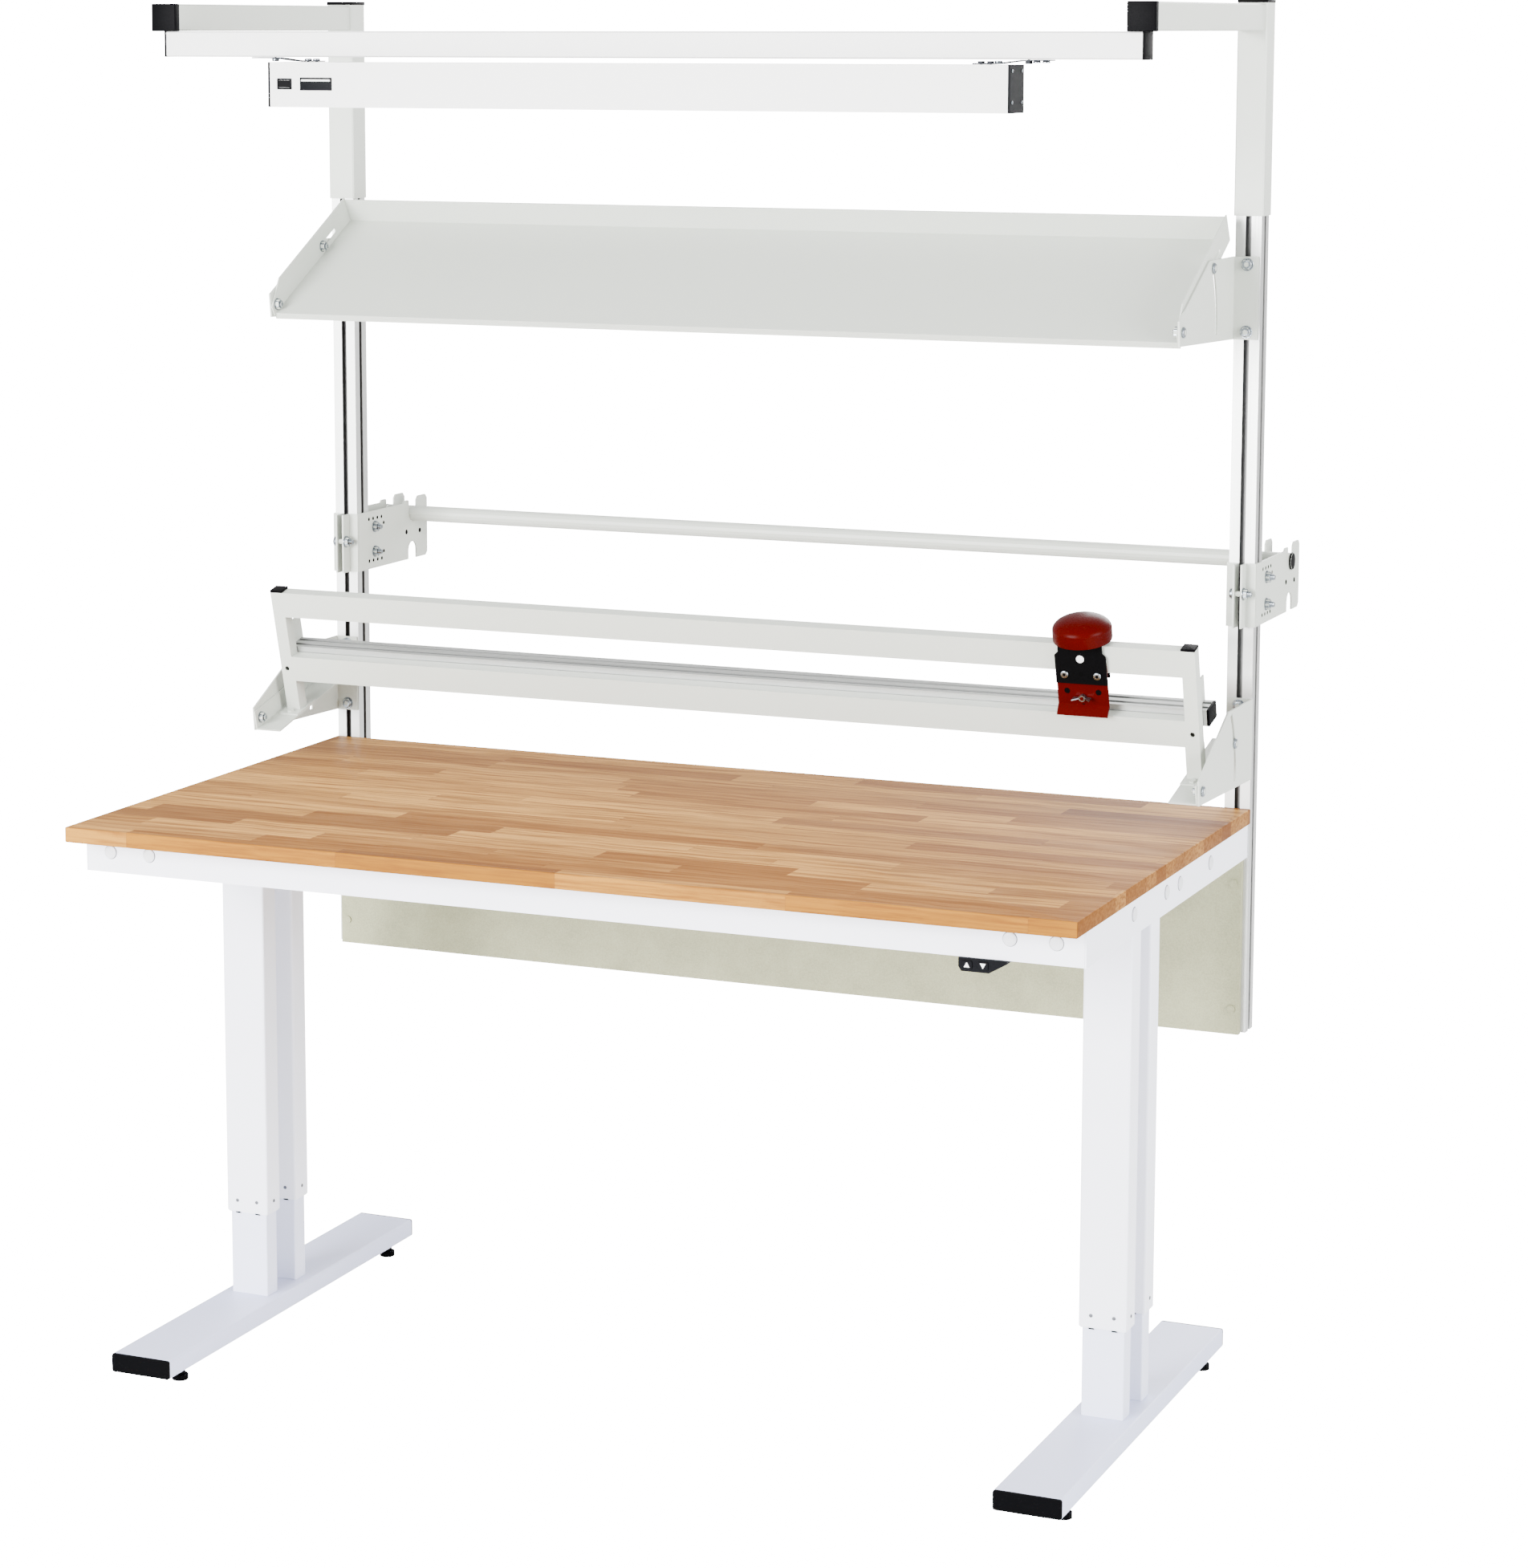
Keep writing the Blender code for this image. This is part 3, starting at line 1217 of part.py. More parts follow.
def lamp_rocker(lift, black):
    """The lamp's rocker; it rocks about an upright pin, and rests tipped to its off side."""
    x0, z0, x1, z1 = switch_box()
    axis_y = LAMP_FRONT + SWITCH_DEPTH / 2 - SWITCH_PROUD
    axis = pivot(
        "switch_rock", ((x0 + x1) / 2, axis_y, (z0 + z1) / 2), lift, (0, 0, math.radians(SWITCH_TIP))
    )
    half_x = (x1 - x0) / 2 - SWITCH_FRAME - SWITCH_ROOM
    half_z = (z1 - z0) / 2 - SWITCH_FRAME - SEAT_GAP
    bm = bmesh.new()
    block(bm, (-half_x, LAMP_FRONT - axis_y - SWITCH_PROUD, -half_z), (half_x, SWITCH_PROUD, half_z))
    node("lamp_rocker", bm, black, axis)


HANDSET_TOP = RAIL_BOTTOM - SEAT_GAP
HANDSET_FRONT = FRONT_Y + HANDSET_FRONT_SETBACK
HANDSET_SCREW_Y = RAIL_FRONT + RAIL_SHEET + RAIL_FLANGE / 2
HANDSET_SCREW_XS = (HANDSET_CENTRE - HANDSET_WIDTH / 4, HANDSET_CENTRE)


def button_pocket(x, grow):
    """The outline of a button, grown by a clearance."""
    half = BUTTON_WIDTH / 2 + grow
    middle = HANDSET_TOP - HANDSET_HEIGHT / 2
    return rounded(
        x - half,
        middle - BUTTON_HEIGHT / 2 - grow,
        x + half,
        middle + BUTTON_HEIGHT / 2 + grow,
        BUTTON_CORNER,
    )


def button_places():
    """Names and middles of the two buttons."""
    middle = HANDSET_CENTRE - BUTTON_SHIFT
    return (("up", middle - BUTTON_SPREAD), ("down", middle + BUTTON_SPREAD))


def handset(lift, dark):
    """The control under the front rail: a slanted right end, two button pockets, and screws into the rail."""
    left = HANDSET_CENTRE - HANDSET_WIDTH / 2
    right = HANDSET_CENTRE + HANDSET_WIDTH / 2
    bottom = HANDSET_TOP - HANDSET_HEIGHT
    slope = HANDSET_SLOPE
    outline = [
        (left, HANDSET_TOP),
        (left, bottom + slope / 2),
        (left + slope / 3, bottom),
        (right - 2 * slope, bottom),
        (right, HANDSET_TOP - slope / 3),
        (right, HANDSET_TOP),
    ]
    bm = bmesh.new()
    prism(bm, "xz", outline, HANDSET_FRONT, HANDSET_FRONT + HANDSET_DEPTH)
    holes = bmesh.new()
    depth = BUTTON_DEPTH - BUTTON_PROUD + BUTTON_TRAVEL_ROOM
    for _, x in button_places():
        prism(holes, "xz", button_pocket(x, SEAT_GAP), HANDSET_FRONT - CUT_OVERRUN, HANDSET_FRONT + depth)
    screws = bmesh.new()
    for x in HANDSET_SCREW_XS:
        tip = RAIL_BOTTOM + RAIL_SHEET + TOP_SCREW_HEAD
        prism(screws, "xy", circle(x, HANDSET_SCREW_Y, TOP_SCREW_RADIUS, 6), HANDSET_TOP - WELD, tip)
    node("handset", bm, dark, lift, holes, [screws])


def handset_buttons(lift, dark):
    """The up and down buttons; each slides into its pocket."""
    for label, x in button_places():
        axis = pivot(f"button_{label}_press", (0.0, HANDSET_FRONT - BUTTON_PROUD, 0.0), lift)
        bm = bmesh.new()
        prism(bm, "xz", button_pocket(x, 0), 0.0, BUTTON_DEPTH)
        node(f"button_{label}", bm, dark, axis)


CONTROL_BACK = BACK_Y - CONTROL_BACK_SETBACK
CONTROL_FRONT = CONTROL_BACK - CONTROL_DEPTH
CONTROL_BOTTOM = RAIL_TOP - CONTROL_HEIGHT


def control_screw_places():
    """Four screws through the lugs of the control box."""
    x = CONTROL_WIDTH / 2 + CONTROL_LUG / 2
    inset = CONTROL_LUG
    return [(sx * x, y) for sx in (-1, 1) for y in (CONTROL_FRONT + inset, CONTROL_BACK - inset)]


def control_box(lift, dark):
    """The lift's control: a tray under the work top with lugs and their screws, and its mains inlet."""
    half = CONTROL_WIDTH / 2
    wall = CONTROL_WALL
    low = CONTROL_BOTTOM
    walls = bmesh.new()
    outer = rectangle(-half, CONTROL_FRONT, half, CONTROL_BACK)
    inner = rectangle(-half + wall, CONTROL_FRONT + wall, half - wall, CONTROL_BACK - wall)
    pipe(walls, "xy", outer, inner, low, RAIL_TOP)
    floor = bmesh.new()
    prism(floor, "xy", outer, low, low + wall + CONTROL_BOARD)
    lugs = bmesh.new()
    for _, side in SIDES:
        low_x, high_x = sorted((side * (half - WELD), side * (half + CONTROL_LUG)))
        block(lugs, (low_x, CONTROL_FRONT, RAIL_TOP - RAIL_SHEET), (high_x, CONTROL_BACK, RAIL_TOP))
    screws = bmesh.new()
    for x, y in control_screw_places():
        top_screw(screws, x, y)
    middle = (low + RAIL_TOP) / 2
    wide = INLET_WIDTH / 2
    tall = INLET_HEIGHT / 2
    inlet = bmesh.new()
    block(
        inlet, (-wide, CONTROL_BACK - INLET_DEPTH, middle - tall), (wide, CONTROL_BACK + WELD, middle + tall)
    )
    socket = bmesh.new()
    hollow = rectangle(-wide + wall, middle - tall + wall, wide - wall, middle + tall - wall)
    prism(socket, "xz", hollow, CONTROL_BACK - INLET_DEPTH + wall, CONTROL_BACK + CUT_OVERRUN)
    node("control_box", walls, dark, lift, socket, [floor, lugs, screws, inlet])


BRACKET_BACK = POST_FRONT - SEAT_GAP
PIVOT_Y = BRACKET_BACK - BRACKET_PIVOT_REACH
SHELF_PLATE = POST_CENTRE - POST_WIDTH / 2
CUTTER_PLATE = HALF_TOP
SHELF_PIVOT_Z = SHELF_BRACKET_BOTTOM + BRACKET_PIVOT_RISE
CUTTER_PIVOT_Z = CUTTER_BRACKET_BOTTOM + BRACKET_PIVOT_RISE


def arc_band(cu, cv, radius, half_width, start, end, steps=8):
    """The outline of an arc-shaped slot."""
    outer = arc(cu, cv, radius + half_width, start, end, steps)
    inner = arc(cu, cv, radius - half_width, end, start, steps)
    return outer + inner


def swivel_bracket(name, side, plate, bottom, lift, paint):
    """A folded bracket: a flange on the post and a plate forward with a pivot hole and an arc slot.

    The plate's outer face stands at the distance plate from the middle of the table. The flange runs over the
    post from there, inwards for the cutter pair and outwards for the shelf pair. Its bolts are one with it.
    """
    outline = [
        (BRACKET_BACK, bottom),
        (BRACKET_BACK, bottom + BRACKET_HEIGHT),
        (BRACKET_BACK - BRACKET_TOP_REACH, bottom + BRACKET_HEIGHT),
        (BRACKET_BACK - BRACKET_REACH, bottom + BRACKET_NOSE_HEIGHT),
        (BRACKET_BACK - BRACKET_NOSE_REACH, bottom + BRACKET_NOSE_DROP),
    ]
    inner = plate - SHEET
    bm = bmesh.new()
    prism(bm, "yz", outline, side * inner, side * plate)
    edge = plate - POST_WIDTH if plate > POST_CENTRE else inner + POST_WIDTH
    far = plate if plate > POST_CENTRE else inner
    low_x, high_x = sorted((side * edge, side * far))
    flange = bmesh.new()
    block(flange, (low_x, BRACKET_BACK - SHEET, bottom), (high_x, BRACKET_BACK, bottom + BRACKET_HEIGHT))
    holes = bmesh.new()
    pivot_z = bottom + BRACKET_PIVOT_RISE
    low_x, high_x = sorted((side * (inner - CUT_OVERRUN), side * (plate + CUT_OVERRUN)))
    hole = (PIVOT_BOLT_RADIUS + RUNNING_GAP) / math.cos(math.pi / PIVOT_SIDES)
    prism(holes, "yz", circle(PIVOT_Y, pivot_z, hole, PIVOT_SIDES), low_x, high_x)
    slot = arc_band(PIVOT_Y, pivot_z, ARC_RADIUS, PIVOT_BOLT_RADIUS + RUNNING_GAP, ARC_LOW, ARC_HIGH)
    prism(holes, "yz", slot, low_x, high_x)
    spots = [(side * POST_CENTRE, bottom + rise) for rise in BRACKET_BOLT_RISES]
    bolts, nuts = post_bolts(spots, BRACKET_BACK - SHEET)
    node(name, bm, paint, lift, holes, [flange, bolts, nuts])


def side_bolts(places, inner_face, outer_face):
    """Bolts along X, mirrored left and right: a round head outside outer_face, a nut on inner_face.

    They are one with the tilting part, whose inner face lies at inner_face from the middle.
    """
    bm = bmesh.new()
    for y, z in places:
        for _, side in SIDES:
            face = side * (outer_face + SEAT_GAP)
            nut = side * (inner_face + WELD)
            end = side * (inner_face - PIVOT_NUT)
            profile = [
                (PIVOT_HEAD_RADIUS / 2, face + side * PIVOT_HEAD),
                (PIVOT_HEAD_RADIUS, face + side * PIVOT_HEAD / 3),
                (PIVOT_HEAD_RADIUS, face),
                (PIVOT_BOLT_RADIUS, face),
                (PIVOT_BOLT_RADIUS, nut),
                (PIVOT_HEAD_RADIUS, nut),
                (PIVOT_HEAD_RADIUS, end),
                (PIVOT_BOLT_RADIUS, end),
                (PIVOT_BOLT_RADIUS, end - side * SHEET),
            ]
            turned(bm, "yz", (y, z), profile, PIVOT_SIDES)
    return bm


SHELF_HALF = SHELF_PLATE - SHEET - RUNNING_GAP
SHELF_FRONT = -SHELF_PIVOT_BACK
SHELF_BACK = SHELF_DEPTH - SHELF_PIVOT_BACK
SHELF_FLOOR = -SHELF_PIVOT_UP
SHELF_LOCK = (math.sqrt(ARC_RADIUS ** 2 - SHELF_LOCK_RISE ** 2), SHELF_LOCK_RISE)


def shelf_tray(frame, paint):
    """The tray: floor, back lip and front hem in one fold, a slotted flange at each end, and its bolts."""
    sheet = SHELF_SHEET
    under = SHELF_FLOOR - sheet
    section = [
        (SHELF_FRONT, SHELF_FLOOR - SHELF_FRONT_HEM),
        (SHELF_FRONT, SHELF_FLOOR),
        (SHELF_BACK - sheet, SHELF_FLOOR),
        (SHELF_BACK - sheet, SHELF_FLOOR + SHELF_BACK_LIP),
        (SHELF_BACK, SHELF_FLOOR + SHELF_BACK_LIP),
        (SHELF_BACK, under),
        (SHELF_FRONT + sheet, under),
        (SHELF_FRONT + sheet, SHELF_FLOOR - SHELF_FRONT_HEM),
    ]
    tray = bmesh.new()
    prism(tray, "yz", section, -SHELF_HALF, SHELF_HALF)
    nose = SHELF_FRONT - SHELF_FLANGE_NOSE
    top = under + SHELF_FLANGE
    flanges = bmesh.new()
    holes = bmesh.new()
    for _, side in SIDES:
        outline = [
            (nose, under),
            (SHELF_BACK, under),
            (SHELF_BACK, top),
            (nose + SHELF_FLANGE_SLOPE, top),
            (nose, under + SHELF_FLANGE_NOSE_HEIGHT),
        ]
        prism(flanges, "yz", outline, side * (SHELF_HALF - sheet), side * SHELF_HALF)
        low_x, high_x = sorted((side * (SHELF_HALF - sheet - CUT_OVERRUN), side * (SHELF_HALF + CUT_OVERRUN)))
        slot_start = SHELF_LOCK[0] + PIVOT_HEAD_RADIUS + PIVOT_BOLT_RADIUS
        slot_end = SHELF_LOCK[0] + SHELF_SLOT_LENGTH / 2
        prism(
            holes,
            "yz",
            capsule(slot_start, SHELF_LOCK_RISE, slot_end, SHELF_LOCK_RISE, PIVOT_BOLT_RADIUS),
            low_x,
            high_x,
        )
    bolts = side_bolts([(0.0, 0.0), SHELF_LOCK], SHELF_HALF - sheet, SHELF_PLATE)
    node("shelf_tray", tray, paint, frame, holes, [flanges, shelf_stiffener(), bolts])


def shelf_stiffener():
    """A channel under the front of the tray, welded to it."""
    start = SHELF_FRONT + STIFFENER_SETBACK
    end = start + STIFFENER_WIDTH
    top = SHELF_FLOOR - SHELF_SHEET
    sheet = STIFFENER_SHEET
    outline = [
        (start, top + WELD),
        (start + sheet, top + WELD),
        (start + sheet, top - STIFFENER_DEPTH + sheet),
        (end - sheet, top - STIFFENER_DEPTH + sheet),
        (end - sheet, top + WELD),
        (end, top + WELD),
        (end, top - STIFFENER_DEPTH),
        (start, top - STIFFENER_DEPTH),
    ]
    bm = bmesh.new()
    reach = SHELF_HALF - STIFFENER_INSET
    prism(bm, "yz", outline, -reach, reach)
    return bm


ROLL_FRONT = BRACKET_BACK
HOOK_Y = POST_FRONT + ROLL_HOOK_REACH
ROD_Z = ROLL_HOOK_Z - ROLL_HOOK_WIDTH / 2 + ROD_RADIUS + SEAT_GAP


def roll_plate_outline():
    """The side view of a roll plate: a hook open upwards, a notch open downwards and a tab at the rear."""
    back = POST_FRONT + ROLL_REACH
    hook = ROLL_HOOK_WIDTH / 2
    notch = ROLL_NOTCH_WIDTH / 2
    notch_y = POST_FRONT + ROLL_NOTCH_REACH
    corner = ROLL_CORNER
    tab = ROLL_TOP + ROLL_TAB_HEIGHT
    bump = ROLL_TOP + ROLL_BUMP_HEIGHT
    bump_y = HOOK_Y - hook - ROLL_BUMP_WIDTH
    outline = [(ROLL_FRONT, ROLL_BOTTOM), (notch_y - notch, ROLL_BOTTOM)]
    outline += arc(notch_y, ROLL_BOTTOM + ROLL_NOTCH_DEPTH - notch, notch, 180, 0, 6)
    outline += [(notch_y + notch, ROLL_BOTTOM), (back - corner, ROLL_BOTTOM), (back, ROLL_BOTTOM + corner)]
    outline += [(back, tab - corner), (back - corner, tab), (HOOK_Y + hook + corner, tab)]
    outline += [(HOOK_Y + hook, tab - corner)]
    outline += arc(HOOK_Y, ROLL_HOOK_Z, hook, 0, -180, 10)
    outline += [(HOOK_Y - hook, bump - ROLL_BUMP_HEIGHT / 2), (HOOK_Y - hook - ROLL_BUMP_HEIGHT / 2, bump)]
    outline += [(bump_y + ROLL_BUMP_HEIGHT, bump), (bump_y, ROLL_TOP), (ROLL_FRONT, ROLL_TOP)]
    return outline


def through_bolt_places():
    """The two bolts behind the post that tie a pair of plates together."""
    return [(POST_FRONT + THROUGH_BOLT_REACH, ROLL_BOTTOM + rise) for rise in THROUGH_BOLT_RISES]


def roll_holder(label, side, lift, paint):
    """A plate on each side of a post, their ears folded round to its front, and the bolts that tie them.

    All the bolts have their head to the left and their nut to the right.
    """
    x = side * POST_CENTRE
    near = POST_WIDTH / 2 + SEAT_GAP
    far = near + SHEET
    inner = ROLL_EAR_SPREAD
    front = ROLL_FRONT - SHEET
    fold = [
        (far - WELD, ROLL_FRONT + SHEET),
        (far - WELD, front),
        (inner + SHEET, front),
        (inner + SHEET, front - ROLL_EAR),
        (inner, front - ROLL_EAR),
        (inner, ROLL_FRONT),
        (near + WELD, ROLL_FRONT),
        (near + WELD, ROLL_FRONT + SHEET),
    ]
    plates = bmesh.new()
    ears = bmesh.new()
    for toward in (-1, 1):
        prism(plates, "yz", roll_plate_outline(), x + toward * near, x + toward * far)
        prism(ears, "xy", [(x + toward * u, v) for u, v in fold], ROLL_BOTTOM, ROLL_TOP)
    clamp = (ROLL_FRONT - SHEET - CLAMP_BOLT_SETBACK, ROLL_BOTTOM + CLAMP_BOLT_RISE)
    bolts = bmesh.new()
    for (y, z), half in [(clamp, inner + SHEET)] + [(spot, far) for spot in through_bolt_places()]:
        profile = [
            (PIVOT_HEAD_RADIUS, x - half - POST_BOLT_HEAD),
            (PIVOT_HEAD_RADIUS, x - half + WELD),
            (PIVOT_BOLT_RADIUS, x - half + WELD),
            (PIVOT_BOLT_RADIUS, x + half - WELD),
            (PIVOT_HEAD_RADIUS, x + half - WELD),
            (PIVOT_HEAD_RADIUS, x + half + ROLL_NUT),
            (PIVOT_BOLT_RADIUS, x + half + ROLL_NUT),
            (PIVOT_BOLT_RADIUS, x + half + ROLL_NUT + ROLL_BOLT_TAIL),
        ]
        turned(bolts, "yz", (y, z), profile, 6)
    node(f"roll_holder_{label}", plates, paint, lift, None, [ears, bolts])


def roll_rod(lift, paint):
    """The tube that carries the paper roll, with its drilled end caps; it turns in the hooks."""
    axis = pivot("rod_spin", (0.0, HOOK_Y, ROD_Z), lift)
    bm = bmesh.new()
    outer = circle(0.0, 0.0, ROD_RADIUS, 16)
    inner = circle(0.0, 0.0, ROD_RADIUS - ROD_WALL, 16)
    pipe(bm, "yz", outer, inner, -ROD_REACH, ROD_REACH)
    caps = bmesh.new()
    hole = circle(0.0, 0.0, ROD_CAP_HOLE, 16)
    for _, side in SIDES:
        low_x, high_x = sorted((side * (ROD_REACH - WELD), side * (ROD_REACH + ROD_CAP)))
        pipe(caps, "yz", outer, hole, low_x, high_x)
    node("roll_rod", bm, paint, axis, None, [caps])


CUTTER_BACK = CUTTER_FRONT + CUTTER_TUBE
CUTTER_TOP = CUTTER_LOW + CUTTER_HEIGHT
SWING_OUTER = CUTTER_PLATE - SHEET - RUNNING_GAP
SWING_FLOOR = -SWING_DOWN + SHEET
FOOT_PLATE_TOP = SWING_FLOOR + SHEET - WELD
CUTTER_LOCK = (ARC_RADIUS, 0.0)


def tube_box(bm, plane, low, high, start, end):
    """A square-cornered tube between two corners of its section."""
    wall = CUTTER_WALL
    outer = rectangle(low[0], low[1], high[0], high[1])
    inner = rectangle(low[0] + wall, low[1] + wall, high[0] - wall, high[1] - wall)
    pipe(bm, plane, outer, inner, start, end)


def between(side, near, far):
    """The span of x between two distances from the middle, on one side of the table."""
    return sorted((side * near, side * far))


def cutter_frame(frame, paint):
    """The welded frame: two capped uprights, two rails between them, and a stub on a foot plate at each end.

    The foot plates are screwed to the angle plates that swing beside the brackets, and thin upright plates
    behind the frame hold the slot rail.
    """
    wall = CUTTER_WALL
    inner_x = CUTTER_HALF - CUTTER_TUBE
    stub_x = CUTTER_HALF - STUB_WIDTH
    middle_x = CUTTER_HALF - STUB_WIDTH / 2
    uprights = bmesh.new()
    stubs = bmesh.new()
    plates = bmesh.new()
    tabs = bmesh.new()
    screws = bmesh.new()
    holes = bmesh.new()
    for _, side in SIDES:
        low_x, high_x = between(side, inner_x, CUTTER_HALF)
        tube_box(uprights, "xy", (low_x, CUTTER_FRONT), (high_x, CUTTER_BACK), CUTTER_LOW, CUTTER_TOP)
        block(stubs, (low_x, CUTTER_FRONT, CUTTER_TOP - WELD), (high_x, CUTTER_BACK, CUTTER_TOP + CUTTER_CAP))
        low_x, high_x = between(side, stub_x, CUTTER_HALF)
        back = CUTTER_FRONT + STUB_WIDTH
        block(stubs, (low_x, CUTTER_FRONT, FOOT_PLATE_TOP - WELD), (high_x, back, CUTTER_LOW + WELD))
        low_x, high_x = between(side, middle_x - FOOT_PLATE_WIDTH / 2, middle_x + FOOT_PLATE_WIDTH / 2)
        back = FOOT_PLATE_FRONT + FOOT_PLATE_LENGTH
        block(plates, (low_x, FOOT_PLATE_FRONT, SWING_FLOOR - WELD), (high_x, back, FOOT_PLATE_TOP))
        tab_x = CUTTER_HALF - CUTTER_TUBE / 2
        tab_low = RAIL_BODY_LOW - TAB_DEPTH / 4
        low_x, high_x = between(side, tab_x, tab_x + TAB_SHEET)
        block(
            tabs,
            (low_x, CUTTER_BACK - WELD, tab_low),
            (high_x, RAIL_BODY_BACK + TAB_SLIT, tab_low + TAB_HEIGHT),
        )
        window = rectangle(
            RAIL_BODY_FRONT - SEAT_GAP,
            RAIL_BODY_LOW - SEAT_GAP,
            RAIL_BODY_BACK + SEAT_GAP,
            RAIL_BODY_HIGH + SEAT_GAP,
        )
        prism(holes, "yz", window, low_x - CUT_OVERRUN, high_x + CUT_OVERRUN)
        drain = circle(side * (CUTTER_HALF - CUTTER_TUBE / 2), CUTTER_LOW + CUTTER_TUBE, VENT_RADIUS, 6)
        prism(holes, "xz", drain, CUTTER_FRONT - CUT_OVERRUN, CUTTER_FRONT + wall + CUT_OVERRUN)
        for y in foot_screw_places():
            head = FOOT_PLATE_TOP + FOOT_SCREW_HEAD
            tip = -SWING_DOWN - FOOT_SCREW_HEAD
            screw(
                screws,
                "xy",
                (side * middle_x, y),
                FOOT_SCREW_RADIUS,
                FOOT_SCREW_HEAD_RADIUS,
                head,
                FOOT_PLATE_TOP - WELD,
                tip,
                6,
            )
    rails = bmesh.new()
    for low_z in (CUTTER_LOW, CUTTER_TOP - CUTTER_RAIL):
        low = (CUTTER_FRONT, low_z)
        high = (CUTTER_BACK, low_z + CUTTER_RAIL)
        tube_box(rails, "yz", low, high, -inner_x - WELD, inner_x + WELD)
        vent = circle((CUTTER_FRONT + CUTTER_BACK) / 2, low_z + CUTTER_RAIL / 2, VENT_RADIUS, 6)
        for _, side in SIDES:
            low_x, high_x = between(side, inner_x - CUT_OVERRUN, inner_x + wall + CUT_OVERRUN)
            prism(holes, "yz", vent, low_x, high_x)
    bolts = side_bolts([(0.0, 0.0), CUTTER_LOCK], SWING_OUTER - SHEET, CUTTER_PLATE)
    node(
        "cutter_frame",
        uprights,
        paint,
        frame,
        holes,
        [rails, stubs, plates, swing_plates(), tabs, screws, bolts],
    )


def foot_screw_places():
    """Two screws through each foot plate, in front of the stub and behind it."""
    return FOOT_PLATE_FRONT + FOOT_SCREW_INSET, FOOT_PLATE_FRONT + FOOT_PLATE_LENGTH - FOOT_SCREW_INSET


def swing_plates():
    """The angle plates beside the swivel brackets."""
    bm = bmesh.new()
    outer = SWING_OUTER
    for _, side in SIDES:
        section = [
            (side * outer, -SWING_DOWN),
            (side * outer, SWING_UP),
            (side * (outer - SHEET), SWING_UP),
            (side * (outer - SHEET), SWING_FLOOR),
            (side * (outer - SWING_LEG), SWING_FLOOR),
            (side * (outer - SWING_LEG), -SWING_DOWN),
        ]
        prism(bm, "xz", section, -SWING_FRONT, SWING_LENGTH - SWING_FRONT)
    return bm


RAIL_BODY_BACK = RAIL_BODY_FRONT + RAIL_BODY_DEPTH
RAIL_BODY_HIGH = RAIL_BODY_LOW + RAIL_BODY_HEIGHT


def slot_rail(frame, aluminium):
    """The slotted profile with its end caps: a groove along its top near the front and one near the back."""
    section = [(RAIL_BODY_FRONT, RAIL_BODY_LOW), (RAIL_BODY_FRONT, RAIL_BODY_HIGH)]
    half = RAIL_GROOVE / 2
    floor = RAIL_BODY_HIGH - RAIL_GROOVE_DEPTH
    for share in RAIL_GROOVE_SHARES:
        middle = RAIL_BODY_FRONT + RAIL_BODY_DEPTH * share
        section += [
            (middle - half, RAIL_BODY_HIGH),
            (middle - half, floor),
            (middle + half, floor),
            (middle + half, RAIL_BODY_HIGH),
        ]
    section += [(RAIL_BODY_BACK, RAIL_BODY_HIGH), (RAIL_BODY_BACK, RAIL_BODY_LOW)]
    bm = bmesh.new()
    prism(bm, "yz", section, -RAIL_BODY_HALF, RAIL_BODY_HALF)
    caps = bmesh.new()
    for _, side in SIDES:
        low_x, high_x = between(side, RAIL_BODY_HALF - WELD, RAIL_BODY_HALF + RAIL_CAP)
        block(caps, (low_x, RAIL_BODY_FRONT, RAIL_BODY_LOW), (high_x, RAIL_BODY_BACK, RAIL_BODY_HIGH))
    node("slot_rail", bm, aluminium, frame, None, [caps])


HEAD_FRONT = CUTTER_FRONT - HEAD_STANDOFF - HEAD_SHEET
HEAD_REAR = CUTTER_BACK + HEAD_STANDOFF
HEAD_SEAT = CUTTER_TOP + HEAD_STANDOFF + HEAD_SHEET
GRIP_TOP = HEAD_LOW + 2 * HEAD_SCREW_RISE
GRIP_FRONT = HEAD_FRONT + HEAD_SHEET + SEAT_GAP
GRIP_BACK = CUTTER_FRONT - SEAT_GAP


def head_screw_places():
    """The two screws through the head plate and the red grip."""
    return [(dx, HEAD_LOW + HEAD_SCREW_RISE) for dx in (-HEAD_SCREW_SPREAD / 2, HEAD_SCREW_SPREAD / 2)]


